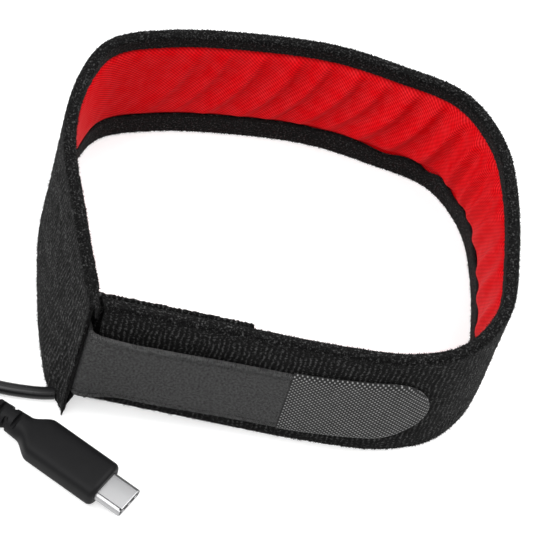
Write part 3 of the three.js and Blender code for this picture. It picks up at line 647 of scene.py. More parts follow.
@dataclass
class Studio:
    """Floor, soft lamps and the camera at the photograph's angle."""

    elevation_deg: float = 51.33
    roll_deg: float = 17.68
    distance: float = 599.2
    lens_mm: float = 174.8
    target: tuple[float, float, float] = (-0.378, -6.631, 17.6)

    def add_camera(self) -> None:
        """Places the camera; the world's up leans to the right in its picture."""
        tilt = math.radians(self.elevation_deg)
        roll = math.radians(self.roll_deg)
        ahead = Vector((0, math.cos(tilt), -math.sin(tilt)))
        upright = Vector((0, math.sin(tilt), math.cos(tilt)))
        sideways = Vector((1, 0, 0))
        right = math.cos(roll) * sideways + math.sin(roll) * upright
        up = -math.sin(roll) * sideways + math.cos(roll) * upright
        turn = Matrix((right, up, -ahead)).transposed().to_4x4()
        spot = (Vector(self.target) - ahead * self.distance) * MM
        data = bpy.data.cameras.new("camera")
        data.lens = self.lens_mm
        data.clip_start = 0.02
        camera = bpy.data.objects.new("camera", data)
        camera.matrix_world = Matrix.Translation(spot) @ turn
        bpy.context.scene.collection.objects.link(camera)
        bpy.context.scene.camera = camera

    def add_floor(self) -> None:
        """Adds a white floor that keeps the object's soft shadow."""
        reach = 3000.0
        corners = np.array([[-reach, -reach, 0], [reach, -reach, 0], [reach, reach, 0], [-reach, reach, 0]])
        floor = mesh_object("floor", corners, [(0, 1, 2, 3)], FloorPaper())

    def add_lamp(self, name: str, azimuth: float, elevation: float, size: float, watts: float) -> None:
        """Adds a square soft lamp that looks at the object.

        Args:
            name: the lamp's name.
            azimuth: degrees from the front towards the right.
            elevation: degrees above the floor.
            size: its side in metres.
            watts: its power.
        """
        turn, rise = math.radians(azimuth), math.radians(elevation)
        spot = Vector((
            math.sin(turn) * math.cos(rise), -math.cos(turn) * math.cos(rise), math.sin(rise),
        )) * 0.9
        data = bpy.data.lights.new(name, "AREA")
        data.size = size
        data.energy = watts
        lamp = bpy.data.objects.new(name, data)
        lamp.location = spot
        lamp.rotation_euler = (-spot).to_track_quat("-Z", "Y").to_euler()
        bpy.context.scene.collection.objects.link(lamp)

    def light(self) -> None:
        """Adds the lamps and the pale world."""
        self.add_lamp("key", 122, 58, 0.7, 8.0)
        self.add_lamp("front", -25, 55, 0.7, 5.4)
        self.add_lamp("side", -80, 38, 0.4, 3.0)
        world = bpy.data.worlds.new("studio")
        world.use_nodes = True
        tree = world.node_tree
        tree.nodes.clear()
        seen = background_rays(tree)
        plain = add_node(tree, "Background", values={"Color": linear("#F4F4F4"), "Strength": 0.24})
        white = add_node(tree, "Background", values={"Color": (1, 1, 1, 1), "Strength": 1.0})
        mixed = add_node(tree, "MixShader", links={0: seen, 1: plain, 2: white})
        add_node(tree, "OutputWorld", links={0: mixed})
        bpy.context.scene.world = world
        bpy.context.scene.view_settings.view_transform = "Standard"


@dataclass(frozen=True)
class FloorPaper(Finish):
    """White seamless paper, matt, shown a little brighter to the camera so that it reads as white."""

    name: str = "white_paper"
    colour: str = "#D4D4D4"
    lift: float = 0.54

    def dress(self, tree: bpy.types.NodeTree, shader: bpy.types.Node) -> None:
        """Adds a faint glow that only the camera and reflections see."""
        seen = background_rays(tree)
        glow = add_node(tree, "Math", {"operation": "MULTIPLY"}, {1: self.lift}, {0: seen})
        shader.inputs["Base Color"].default_value = linear(self.colour)
        shader.inputs["Roughness"].default_value = 1.0
        shader.inputs["Specular IOR Level"].default_value = 0.0
        shader.inputs["Emission Color"].default_value = (1, 1, 1, 1)
        tree.links.new(glow.outputs[0], shader.inputs["Emission Strength"])


@dataclass
class Lead:
    """The lead: out of the hem, wound into the stored coil, and back to the plug."""

    diameter: float = 3.0
    height: float = 1.52
    out_points: tuple[tuple[float, float], ...] = (
        (-37.2, -40.85), (-39.6, -41.8), (-43.4, -42.8), (-49.4, -43.8), (-56.2, -44.2), (-64, -43.2),
        (-73, -40.6), (-82, -38.1), (-90.4, -37),
    )
    back_points: tuple[tuple[float, float], ...] = ((-68, -61.6), (-67.2, -56), (-64.9, -51.2), (-61.3, -48.4))
    straight: float = 4.0
    end_gap: float = 0.3
    coil_centre: tuple[float, float] = (-91, -60)
    coil_lift: float = 0.9
    coil_radii: tuple[float, ...] = (20, 17, 14, 14, 17, 20, 14, 17, 20)
    coil_rows: tuple[int, ...] = (0, 0, 0, 1, 1, 1, 2, 2, 2)
    row_rise: float = 3.05
    last_turn: float = 0.75
    points_per_turn: int = 24
    entry_radius: float = 23.0
    cross_from_deg: float = 295.0
    cross_to_deg: float = 350.0

    def coil_point(self, turned: float) -> tuple[float, float, float]:
        """Gives the lead's centre after a number of turns round the coil.

        Args:
            turned: turns from the coil's far side, where the lead comes in.

        Returns:
            The point in the plan's frame, in millimetres.
        """
        turn = min(int(turned), len(self.coil_radii) - 1)
        angle = (turned - turn) * 360
        base = self.coil_lift + self.diameter / 2 + 0.2
        radius = self.coil_radii[turn]
        height = base + self.coil_rows[turn] * self.row_rise
        if turn + 1 < len(self.coil_radii):
            middle = self.cross_from_deg + 0.4 * (self.cross_to_deg - self.cross_from_deg)
            climb = float(smooth(angle, self.cross_from_deg, middle))
            slide = float(smooth(angle, self.cross_from_deg, self.cross_to_deg))
            if self.coil_rows[turn + 1] != self.coil_rows[turn]:
                slide = float(smooth(angle, middle - 10, self.cross_to_deg))
            elif self.coil_rows[turn] == 2:
                height += self.diameter * math.sin(math.pi * slide) ** 0.5
            radius += (self.coil_radii[turn + 1] - radius) * slide
            height += (self.coil_rows[turn + 1] - self.coil_rows[turn]) * self.row_rise * climb
        if turn == 0:
            arrive = float(smooth(angle, 0, 70))
            radius = self.entry_radius + (radius - self.entry_radius) * arrive
            height = self.height + (height - self.height) * arrive
        if turn == len(self.coil_radii) - 1:
            leave = float(smooth(angle, 190, 225))
            radius += (self.entry_radius - radius) * leave
            height += (self.height - height) * float(smooth(angle, 195, 266))
        heading = math.pi / 2 + math.radians(angle)
        return (
            self.coil_centre[0] + radius * math.cos(heading), self.coil_centre[1] + radius * math.sin(heading),
            height,
        )

    def route(self) -> list[tuple[float, float, float]]:
        """Lists the whole route in the part's frame, in metres."""
        turns = len(self.coil_radii) - 1 + self.last_turn
        count = round(turns * self.points_per_turn)
        coil = [self.coil_point(turns * i / count) for i in range(1, count)]
        path = [(x, y, self.height) for x, y in self.out_points]
        path += coil
        path += [(x, y, self.height) for x, y in self.back_points]
        plug = Plug()
        tip = plug.sleeve_end() - self.end_gap
        path += [(*plug.on_axis(x), self.height) for x in (tip - self.straight, tip)]
        return [((x + BAND.shift[0]) * MM, (y + BAND.shift[1]) * MM, z * MM) for x, y, z in path]

    def build(self) -> bpy.types.Object:
        """Makes the lead as one bevelled curve.

        Returns:
            The curve object.
        """
        route = self.route()
        data = bpy.data.curves.new("lead", "CURVE")
        data.dimensions = "3D"
        data.resolution_u = 5
        data.bevel_depth = self.diameter / 2 * MM
        data.bevel_resolution = 5
        data.use_fill_caps = True
        spline = data.splines.new("BEZIER")
        spline.bezier_points.add(len(route) - 1)
        for knot, spot in zip(spline.bezier_points, route):
            knot.co = spot
            knot.handle_left_type = knot.handle_right_type = "AUTO"
        data.materials.append(JACKET.make())
        piece = bpy.data.objects.new("lead", data)
        bpy.context.scene.collection.objects.link(piece)
        return finish_piece(piece, "jacket", "cable_out", "cable_back", "cable_coil")

    def declare(self) -> None:
        """Works out the lead's route again, and keeps nothing.
        """
        route = self.route()


@dataclass
class Band:
    """The soft band: pile cover, facing on its tucked end, and the gathered red liner."""

    pile: float = 0.8
    lip_low: float = 6.6
    lip_high: float = 3.7
    rim_radius: float = 0.85
    wall_inner: float = 2.2
    column_step: float = 0.36
    wale: float = 1.15
    wale_height: float = 0.11
    lump_height: float = 0.22
    facing_length: float = 32.5
    facing_start: float = -1.0
    facing_proud: float = -0.1
    liner_start: float = 3.0
    liner_end: float = 10.6
    liner_grid: float = 0.95
    liner_slack: float = 0.05
    end_flattening: float = 0.35
    corner_height: float = 9.0
    corner_back: float = 2.8
    corner_out: float = 1.9
    corner_pinch: float = 0.3
    scallop_depth: float = 1.3
    settle_scale: float = 0.1
    settle_frames: int = 24
    wrinkle_share: float = 0.2
    rise_limit: float = 3.6
    fibre_count: int = 26000
    fibre_radius: float = 0.09
    fibre_reach: tuple[float, float] = (0.15, 0.65)
    seed: int = 7

    def section(self) -> tuple[np.ndarray, np.ndarray]:
        """Draws the folded section as height and distance out, with the distance run over the cloth.

        Returns:
            The points, and for each the outward direction of the cloth's face or zero on the hidden side.
        """
        top, r, t = BAND.height, self.rim_radius, BAND.thickness
        points: list[tuple[float, float]] = []
        pushes: list[tuple[float, float]] = []

        def run(a: tuple[float, float], b: tuple[float, float], count: int, push: tuple[float, float]) -> None:
            """Adds points from a up to but not including b."""
            for i in range(count):
                share = i / count
                points.append((a[0] + (b[0] - a[0]) * share, a[1] + (b[1] - a[1]) * share))
                pushes.append(push)

        def bend(centre: tuple[float, float], start: float, count: int) -> None:
            """Adds points round a rim corner through a quarter turn."""
            for i in range(count):
                angle = math.radians(start + 90 * i / count)
                points.append((centre[0] + r * math.cos(angle), centre[1] + r * math.sin(angle)))
                pushes.append((math.cos(angle), math.sin(angle)))

        run((self.lip_low, 0.25), (self.lip_low, self.pile), 1, (0, 0))
        run((self.lip_low, self.pile), (self.pile, self.pile), 2, (0, 0))
        run((self.pile, self.pile), (self.pile, self.wall_inner), 1, (0, 0))
        run((self.pile, self.wall_inner), (top - self.pile, self.wall_inner), 6, (0, 0))
        run((top - self.pile, self.wall_inner), (top - self.pile, self.pile), 1, (0, 0))
        run((top - self.pile, self.pile), (top - self.lip_high, self.pile), 2, (0, 0))
        run((top - self.lip_high, self.pile), (top - self.lip_high, 0.25), 1, (0, 0))
        points.append((top - self.lip_high, 0.25))
        pushes.append((0, 0))
        run((top - self.lip_high + 0.25, 0), (top - r, 0), 8, (0, -1))
        bend((top - r, r), -90, 4)
        bend((top - r, t - r), 0, 4)
        run((top - r, t), (r, t), 46, (0, 1))
        bend((r, t - r), 90, 4)
        bend((r, r), 180, 4)
        run((r, 0), (self.lip_low - 0.25, 0), 8, (0, -1))
        points.append((self.lip_low - 0.25, 0))
        pushes.append((0, -1))
        return np.array(points), np.array(pushes)

    def relief(self, along: np.ndarray, around: np.ndarray, noise: np.ndarray) -> np.ndarray:
        """Gives how far the pile stands out at each place: wales, lumps and loose tufts.

        Args:
            along: distance along the band.
            around: distance round the section.
            noise: random values from -1 to 1, one for each place.

        Returns:
            The height of the pile over its ground.
        """
        lean = 0.16 * around
        wander = 0.5 * np.sin(along / 7.3 + around / 9.1) + 0.35 * np.sin(along / 3.1 - around / 5.7 + 1.3)
        wales = np.sin(2 * math.pi * (along + lean + wander) / self.wale)
        lumps = np.sin(along / 4.7 + 0.6 * np.sin(around / 6.0)) * np.sin(around / 5.3 + along / 17.0)
        return self.wale_height * wales + 0.3 * self.lump_height * lumps + 0.45 * self.lump_height * noise

    def build_cover(self) -> bpy.types.Object:
        """Carries the folded section along the band with its pile relief, and closes both raw ends."""
        section, pushes = self.section()
        steps = np.hypot(*np.diff(section, axis=0).T)
        around = np.concatenate([[0], np.cumsum(steps)])
        count = round(BAND.length / self.column_step)
        along = np.linspace(0, BAND.length, count + 1)
        grid_along = np.repeat(along[:, None], len(section), axis=1)
        grid_around = np.repeat(around[None, :], count + 1, axis=0)
        random = np.random.default_rng(self.seed)
        noise = random.uniform(-1, 1, grid_along.shape)
        relief = self.relief(grid_along, grid_around, noise)
        raised = np.abs(pushes).sum(axis=1) > 0
        on_wall = smooth(pushes[:, 1], 0.2, 1.0)
        on_wall = on_wall * (0.3 + 0.7 * smooth(section[:, 0], 1, 5) * (1 - smooth(section[:, 0], 31, 34)))
        relief = relief * (raised * on_wall)[None, :] + 0.1 * noise * (raised * (1 - on_wall))[None, :]
        height = section[None, :, 0] + pushes[None, :, 0] * relief
        out = section[None, :, 1] + pushes[None, :, 1] * relief
        in_lip = (section[:, 1] <= self.pile) * (section[:, 0] < self.lip_low + 0.1)
        dips = in_lip * smooth(section[:, 0], 2, self.lip_low)
        height = height - dips[None, :] * self.scallop(along)[:, None]
        height = np.maximum(height, 0.02)
        ragged = random.normal(0, 0.22, len(section))
        grid_along[-1] += np.abs(ragged) * raised
        grid_along[0] -= 0.6 * np.abs(ragged) * raised
        grid_along, out = self.shape_end(grid_along, out, height)
        points = BAND.place(grid_along, out, height).reshape(-1, 3)
        piece = mesh_object("loop_pile_cover", points, grid_faces(count + 1, len(section), ring=True), PILE)
        places = np.stack([grid_along, out, grid_around - around[len(around) // 2]], axis=-1)
        ribbed = np.repeat(0.05 + 0.95 * on_wall[None, :], count + 1, axis=0)
        note_cloth(piece, places.reshape(-1, 3), ribbed)
        faces_out(piece)
        finish_piece(piece, "pile", "pile_cover")
        LOG.info("pile cover: %d faces", len(piece.data.polygons))
        return piece

    def shape_end(
        self, along: np.ndarray, out: np.ndarray, height: np.ndarray,
    ) -> tuple[np.ndarray, np.ndarray]:
        """Flattens the sewn end and draws the inner corner of its foot back to a point.

        Args:
            along: distance along the band.
            out: distance out from its inner face.
            height: height above its foot.

        Returns:
            The new distances along and out.
        """
        sewn = smooth(along, BAND.length - 7, BAND.length - 1.5)
        out = out + sewn * self.end_flattening * np.clip(self.wall_inner - out, 0, None)
        corner = smooth(along, BAND.length - 6, BAND.length) * (1 - smooth(height, 0.5, self.corner_height))
        back = self.corner_back * corner * np.clip(1 - out / BAND.thickness, 0, 1)
        return along - back, out + (self.corner_out - out) * self.corner_pinch * corner

    def scallop(self, along: np.ndarray) -> np.ndarray:
        """Gives how far the lower border dips where the gathered liner swells over it."""
        swell = 0.5 + 0.5 * np.sin(along / 2.1 + 1.4 * np.sin(along / 6.3))
        return self.scallop_depth * swell**2 * smooth(along, 60, 90) * (1 - smooth(along, 165, 200))

    def build_fibres(self) -> bpy.types.Object:
        """Makes the loose fibre ends that stand out of the pile, thickest on the rims and the cut ends.

        Returns:
            The piece, made of small closed spikes.
        """
        section, pushes = self.section()
        random = np.random.default_rng(self.seed + 3)
        weight = np.abs(pushes).sum(axis=1) * (1 + 5 * (np.abs(pushes[:, 0]) > 0.3))
        pick = random.choice(len(section), self.fibre_count, p=weight / weight.sum())
        along = random.uniform(0, BAND.length, self.fibre_count)
        cut = random.uniform(0, 1, self.fibre_count)
        along = np.where(cut < 0.03, random.uniform(-0.1, 0.3, len(along)), along)
        along = np.where(cut > 0.95, BAND.length - random.uniform(-0.1, 0.3, len(along)), along)
        lean = np.where(cut < 0.03, -1.2, np.where(cut > 0.95, 1.2, 0.0)) + random.normal(0, 0.5, len(along))
        way = np.column_stack([
            lean, pushes[pick, 1] + random.normal(0, 0.45, len(along)),
            pushes[pick, 0] + random.normal(0, 0.45, len(along)),
        ])
        way /= np.linalg.norm(way, axis=1)[:, None]
        across = np.cross(way, random.normal(0, 1, way.shape))
        across /= np.linalg.norm(across, axis=1)[:, None]
        third = np.cross(way, across)
        root = np.column_stack([along, section[pick, 1], section[pick, 0]]) - 0.2 * way
        corners = [
            root + self.fibre_radius * (math.cos(turn) * across + math.sin(turn) * third)
            for turn in (0, 2 * math.pi / 3, 4 * math.pi / 3)
        ]
        reach = random.uniform(*self.fibre_reach, len(along))[:, None] + 0.2
        spikes = np.stack([*corners, root + way * reach], axis=1).reshape(-1, 3)
        points = BAND.place(
            *self.shape_end(spikes[:, 0], spikes[:, 1], spikes[:, 2]), np.maximum(spikes[:, 2], 0.02),
        )
        first = 4 * np.arange(self.fibre_count)[:, None, None]
        faces = (first + np.array([[0, 2, 1], [0, 1, 3], [1, 2, 3], [2, 0, 3]])[None]).reshape(-1, 3)
        piece = mesh_object("pile_fibres", points, faces, PILE)
        note_cloth(piece, spikes)
        faces_out(piece)
        finish_piece(piece, "pile")
        return piece

    def build_facing(self) -> bpy.types.Object:
        """Makes the raw-cut pile facing inside the tucked end."""
        low, high = 1.0, BAND.height + self.facing_proud
        rows = 70
        heights = np.linspace(low, high, rows)
        inner, outer = -0.95, -0.15
        ring_height = np.concatenate([heights, heights[::-1]])
        ring_out = np.concatenate([np.full(rows, inner), np.full(rows, outer)])
        count = round((self.facing_length - self.facing_start) / self.column_step)
        along = np.linspace(self.facing_start, self.facing_length, count + 1)
        grid_along = np.repeat(along[:, None], 2 * rows, axis=1)
        random = np.random.default_rng(self.seed + 1)
        grid_height = np.repeat(ring_height[None, :], count + 1, axis=0)
        relief = self.relief(grid_along, grid_height, random.uniform(-1, 1, grid_along.shape))
        side = np.where(np.arange(2 * rows) < rows, -1.0, 1.0)
        edge = np.ones(2 * rows)
        edge[[0, rows - 1, rows, -1]] = 0.2
        out = ring_out[None, :] + side * relief * edge * np.where(side < 0, 1.0, 0.0)
        top = grid_height > high - 0.3
        grid_height = grid_height + top * random.uniform(-0.3, 0.2, (count + 1, 1))
        points = BAND.place(grid_along, out, grid_height).reshape(-1, 3)
        piece = mesh_object("pile_facing", points, grid_faces(count + 1, 2 * rows, ring=True), PILE)
        places = np.stack([grid_along, out, grid_height], axis=-1).reshape(-1, 3)
        note_cloth(piece, places, np.full(len(places), 0.8))
        faces_out(piece)
        finish_piece(piece, "pile", "tail_facing")
        return piece

    def gathers(self, along: np.ndarray, height: np.ndarray) -> np.ndarray:
        """Gives the liner's main folds: soft slanting ones, deep ones in the tight bends.

        Args:
            along: distance along the band.
            height: height above its foot.

        Returns:
            How far the cloth stands in from its seat, in millimetres.
        """
        across = np.clip((height - self.lip_low) / (BAND.height - self.lip_low - self.lip_high), 0, 1)
        crown = np.sin(math.pi * across) ** 0.6
        total = np.full_like(along, 0.25)
        for centre, width, depth, reach in self.folds():
            gap = along - centre - reach * (1 - across) ** 1.5
            flank = width * np.where(gap > 0, 1.25, 0.6)
            total = total + depth * np.exp(-((gap / flank) ** 2))
        return crown * total

    def folds(self) -> list[tuple[float, float, float, float]]:
        """Lists the folds as place along the band at the top, width, depth, and how far the foot trails."""
        return [
            (58, 2.6, 1.3, 6), (66, 2.4, 1.4, 6), (75, 2.6, 1.6, 7), (84, 2.3, 1.4, 7), (93, 2.6, 1.7, 6),
            (101, 2.2, 1.5, 7), (110, 2.5, 1.7, 8), (118, 2.2, 1.8, 8), (127, 2.4, 2.1, 9), (135, 2.1, 2.3, 8),
            (142, 2.0, 2.9, 6), (149, 2.0, 3.1, 5), (156, 2.1, 2.8, 8), (163, 1.9, 2.4, 10),
            (170, 2.0, 2.3, 11), (177, 1.6, 1.7, 12), (184, 2.2, 2.4, 12), (192, 1.7, 2.2, 12),
            (199, 2.2, 2.3, 12), (208, 2.0, 2.1, 12), (216, 1.5, 1.3, 12), (224, 2.4, 1.2, 11),
            (243, 4.5, 0.4, 8),
        ]

    def build_liner(self) -> bpy.types.Object:
        """Makes the liner from its flat panel: gathered, settled as cloth, then laid along the band."""
        start, end = self.liner_start, BAND.length - self.liner_end
        columns = round((end - start) / self.liner_grid) + 1
        edge_low, edge_high = self.lip_low - 1.9, BAND.height - self.lip_high + 1.9
        rows = round((edge_high - edge_low) / self.liner_grid) + 1
        along = np.repeat(np.linspace(start, end, columns)[:, None], rows, axis=1)
        height = np.repeat(np.linspace(edge_low, edge_high, rows)[None, :], columns, axis=0)
        tucked = np.maximum(
            1 - smooth(height, self.lip_low, self.lip_low + 1.4),
            smooth(height, BAND.height - self.lip_high - 1.4, BAND.height - self.lip_high),
        )
        seat = 0.1 + 0.97 * tucked
        calm = smooth(along, start, start + 12) * (1 - smooth(along, end - 14, end))
        rise = self.gathers(along, height) * calm * (1 - tucked)
        rise = self.settle(along, height, rise, tucked)
        inner = BAND.place(along, seat - rise, height)
        outer = BAND.place(along, np.maximum(seat - rise, 0.0) + 0.22, height)
        points = np.vstack([inner.reshape(-1, 3), outer.reshape(-1, 3)])
        faces = grid_faces(columns, rows, ring=False)
        shift = columns * rows
        back = [tuple(i + shift for i in face[::-1]) for face in faces]
        rim = [r for r in range(rows)]
        rim += [c * rows + rows - 1 for c in range(1, columns)]
        rim += [(columns - 1) * rows + r for r in range(rows - 2, -1, -1)]
        rim += [c * rows for c in range(columns - 2, 0, -1)]
        sides = [(a, b, b + shift, a + shift) for a, b in zip(rim, rim[1:] + rim[:1])]
        piece = mesh_object("red_twill_liner", points, faces + back + sides, LINER)
        place = np.stack([along, seat - rise, height], axis=-1).reshape(-1, 3)
        note_cloth(piece, np.vstack([place, place]))
        faces_out(piece)
        finish_piece(piece, "liner", "red_liner")
        smoother = piece.modifiers.new("finer", "SUBSURF")
        smoother.levels = smoother.render_levels = 1
        LOG.info("liner: %d by %d", columns, rows)
        return piece

    def settle(
        self, along: np.ndarray, height: np.ndarray, rise: np.ndarray, tucked: np.ndarray,
    ) -> np.ndarray:
        """Lets the flat panel settle as cloth with its edges held and a little slack.

        Args:
            along: distance along the band at each point.
            height: height at each point.
            rise: where the cloth starts, in from its seat.
            tucked: 1 where the cloth is held under a border.

        Returns:
            How far the cloth stands in from its seat after it has settled.
        """
        columns, rows = along.shape
        points = np.stack([along, -rise, height], axis=-1).reshape(-1, 3) * self.settle_scale
        mesh = bpy.data.meshes.new("panel")
        mesh.from_pydata(points.tolist(), [], grid_faces(columns, rows, ring=False))
        panel = bpy.data.objects.new("panel", mesh)
        scene = bpy.context.scene
        scene.collection.objects.link(panel)
        held = panel.vertex_groups.new(name="held")
        firm = (tucked > 0.5).ravel()
        firm[: 2 * rows] = True
        firm[-2 * rows :] = True
        held.add([int(i) for i in np.flatnonzero(firm)], 1.0, "REPLACE")
        cloth = panel.modifiers.new("cloth", "CLOTH")
        cloth.settings.vertex_group_mass = "held"
        cloth.settings.shrink_min = -0.5 * self.liner_slack
        cloth.settings.quality = 6
        cloth.settings.mass = 0.2
        cloth.settings.tension_stiffness = 25
        cloth.settings.compression_stiffness = 20
        cloth.settings.bending_stiffness = 0.35
        cloth.settings.effector_weights.gravity = 0.0
        cloth.settings.use_pressure = True
        cloth.settings.uniform_pressure_force = -0.3
        cloth.point_cache.frame_end = self.settle_frames
        for step in range(1, self.settle_frames + 1):
            scene.frame_set(step)
        settled = panel.evaluated_get(bpy.context.evaluated_depsgraph_get()).to_mesh()
        after = np.empty(len(settled.vertices) * 3)
        settled.vertices.foreach_get("co", after)
        after = after.reshape(columns, rows, 3) / self.settle_scale
        panel.evaluated_get(bpy.context.evaluated_depsgraph_get()).to_mesh_clear()
        bpy.data.objects.remove(panel)
        scene.frame_set(1)
        moved = -after[:, :, 1]
        LOG.info("settled liner: %.2f to %.2f mm", moved.min(), moved.max())
        wrinkle = np.clip(moved - rise, -0.7, 1.6)
        return np.clip(rise + self.wrinkle_share * wrinkle, 0.05, self.rise_limit) * (1 - tucked)


@dataclass
class StrapAndTab:
    """The elastic strap across the joint and the hook tab that carries on from it."""

    width: float = 20.5
    thickness: float = 1.1
    sewn: float = 10.0
    pocket: float = 0.6
    seam: float = 43.5
    centre_sewn: float = 17.2
    centre_seam: float = 15.7
    bridge: float = 1.9
    turn: float = 6.5
    seat: float = 0.3
    tab_width: float = 21.4
    tab_thickness: float = 1.2
    tab_end: float = 74.8
    tab_rise: float = 1.8
    seam_gap: float = 0.06

    def stations(self) -> list[tuple[float, float, float]]:
        """Lists the strap's places as distance along the band, distance out, and share of the way."""
        sewn_out = Band().wall_inner - self.pocket - self.thickness / 2
        seat_out = BAND.thickness + self.seat + self.thickness / 2
        listed = [
            (BAND.length - self.sewn, sewn_out, 0.0), (BAND.length - 0.6 * self.sewn, sewn_out, 0.0),
            (BAND.length - 0.25 * self.sewn, sewn_out, 0.0), (BAND.length, sewn_out - 0.15, 0.0),
        ]
        for i in range(6):
            along = self.turn + (self.seam - self.turn) * i / 6
            settled = float(smooth(along, self.turn, self.seam))
            listed.append((along, seat_out + self.bridge * (1 - settled), settled))
        listed.append((self.seam, seat_out, 1.0))
        return listed

    def edge(self, side: int) -> np.ndarray:
        """Samples one edge of the strap evenly."""
        knots = []
        for along, out, share in self.stations():
            centre = self.centre_sewn + (self.centre_seam - self.centre_sewn) * share
            knots.append(BAND.place(along, out, centre + side * self.width / 2))
        line = centripetal(np.array(knots), 60)
        travel = np.concatenate([[0], np.cumsum(np.linalg.norm(np.diff(line, axis=0), axis=1))])
        even = np.linspace(0, travel[-1], 150)
        return np.stack([np.interp(even, travel, line[:, i]) for i in range(3)], axis=-1)

    def flat_section(self, half: float, thick: float, count: int) -> np.ndarray:
        """Draws a webbing section: flat faces, round edges and a corded selvedge.

        Args:
            half: half the width.
            thick: the thickness.
            count: points across a face.

        Returns:
            Points as distance across and out, one loop.
        """
        radius = thick / 2
        across = np.linspace(-(half - radius), half - radius, count)
        cord = 0.24 * np.exp(-(((half - 0.7 - np.abs(across)) / 0.34) ** 2))
        groove = -0.36 * np.exp(-(((half - 1.35 - np.abs(across)) / 0.26) ** 2))
        face = radius + cord + groove
        turn = np.linspace(-math.pi / 2, math.pi / 2, 9)[1:-1]
        right = np.stack([half - radius + radius * np.cos(turn), radius * np.sin(turn)], axis=-1)
        return np.vstack([
            np.stack([across, -radius * np.ones(count)], axis=-1), right,
            np.stack([across, face], axis=-1)[::-1], right[::-1] * [-1, 1],
        ])

    def build_strap(self) -> bpy.types.Object:
        """Makes the strap as a ribbon between its two edges."""
        low, high = self.edge(-1), self.edge(1)
        side = high - low
        side /= np.linalg.norm(side, axis=1)[:, None]
        travel = np.gradient(0.5 * (low + high), axis=0)
        travel /= np.linalg.norm(travel, axis=1)[:, None]
        outward = np.cross(travel, side)
        outward /= np.linalg.norm(outward, axis=1)[:, None]
        section = self.flat_section(self.width / 2, self.thickness, 44)
        middle = 0.5 * (low + high)
        points = (
            middle[:, None, :] + section[None, :, 0, None] * side[:, None, :]
            + section[None, :, 1, None] * outward[:, None, :]
        )
        run = np.concatenate([[0], np.cumsum(np.linalg.norm(np.diff(middle, axis=0), axis=1))])
        piece = mesh_object(
            "elastic_webbing", points.reshape(-1, 3), grid_faces(len(low), len(section), ring=True), STRAP,
        )
        places = np.stack([
            np.repeat(run[:, None], len(section), axis=1), np.repeat(section[None, :, 1], len(low), axis=0),
            np.repeat(section[None, :, 0], len(low), axis=0),
        ], axis=-1)
        note_cloth(piece, places.reshape(-1, 3))
        faces_out(piece)
        finish_piece(piece, "elastic", "elastic_strap")
        return piece

    def build_tab(self) -> bpy.types.Object:
        """Makes the hook tab with its half-round end and pressed edge."""
        start = self.seam + self.seam_gap
        length = self.tab_end - start
        radius = self.tab_width / 2
        straight = length - radius
        stations = list(np.linspace(0, straight, 50))
        stations += [straight + radius * math.sin(math.pi / 2 * i / 26) for i in range(1, 27)]
        seat = BAND.thickness + self.seat + self.tab_thickness / 2
        rows = []
        places = []
        for x in stations:
            over = max(0.0, x - straight)
            half = max(0.35, math.sqrt(max(radius * radius - over * over, 0)))
            section = self.tab_section(half, x, length)
            centre = self.centre_seam + self.tab_rise * float(smooth(x, 0, length))
            rows.append(BAND.place(start + x, seat + section[:, 1], centre + section[:, 0]))
            places.append(np.stack([np.full(len(section), x), section[:, 1], section[:, 0]], axis=-1))
        piece = mesh_object(
            "hook_tape_tab", np.vstack(rows), grid_faces(len(rows), len(places[0]), ring=True), HOOK_BACK,
        )
        note_cloth(piece, np.vstack(places))
        faces_out(piece)
        finish_piece(piece, "hook_tape", "hook_tab")
        return piece

    def tab_section(self, half: float, x: float, length: float) -> np.ndarray:
        """Draws the tab's section at one place: flat, with a thin welded edge."""
        thick = self.tab_thickness
        count = 30
        across = np.linspace(-1, 1, count)
        reach = (half - 0.3) * across
        near = np.minimum(half - np.abs(reach), np.maximum(length - x, 0) + 0.25)
        face = thick / 2 - 0.32 * np.exp(-np.clip(near - 0.3, 0, None) / 0.35)
        turn = np.linspace(-math.pi / 2, math.pi / 2, 5)[1:-1]
        right = np.stack([half - 0.3 + 0.3 * np.cos(turn), 0.25 * np.sin(turn)], axis=-1)
        return np.vstack([
            np.stack([reach, np.full(count, -thick / 2)], axis=-1), right,
            np.stack([reach, face], axis=-1)[::-1], right[::-1] * [-1, 1],
        ])


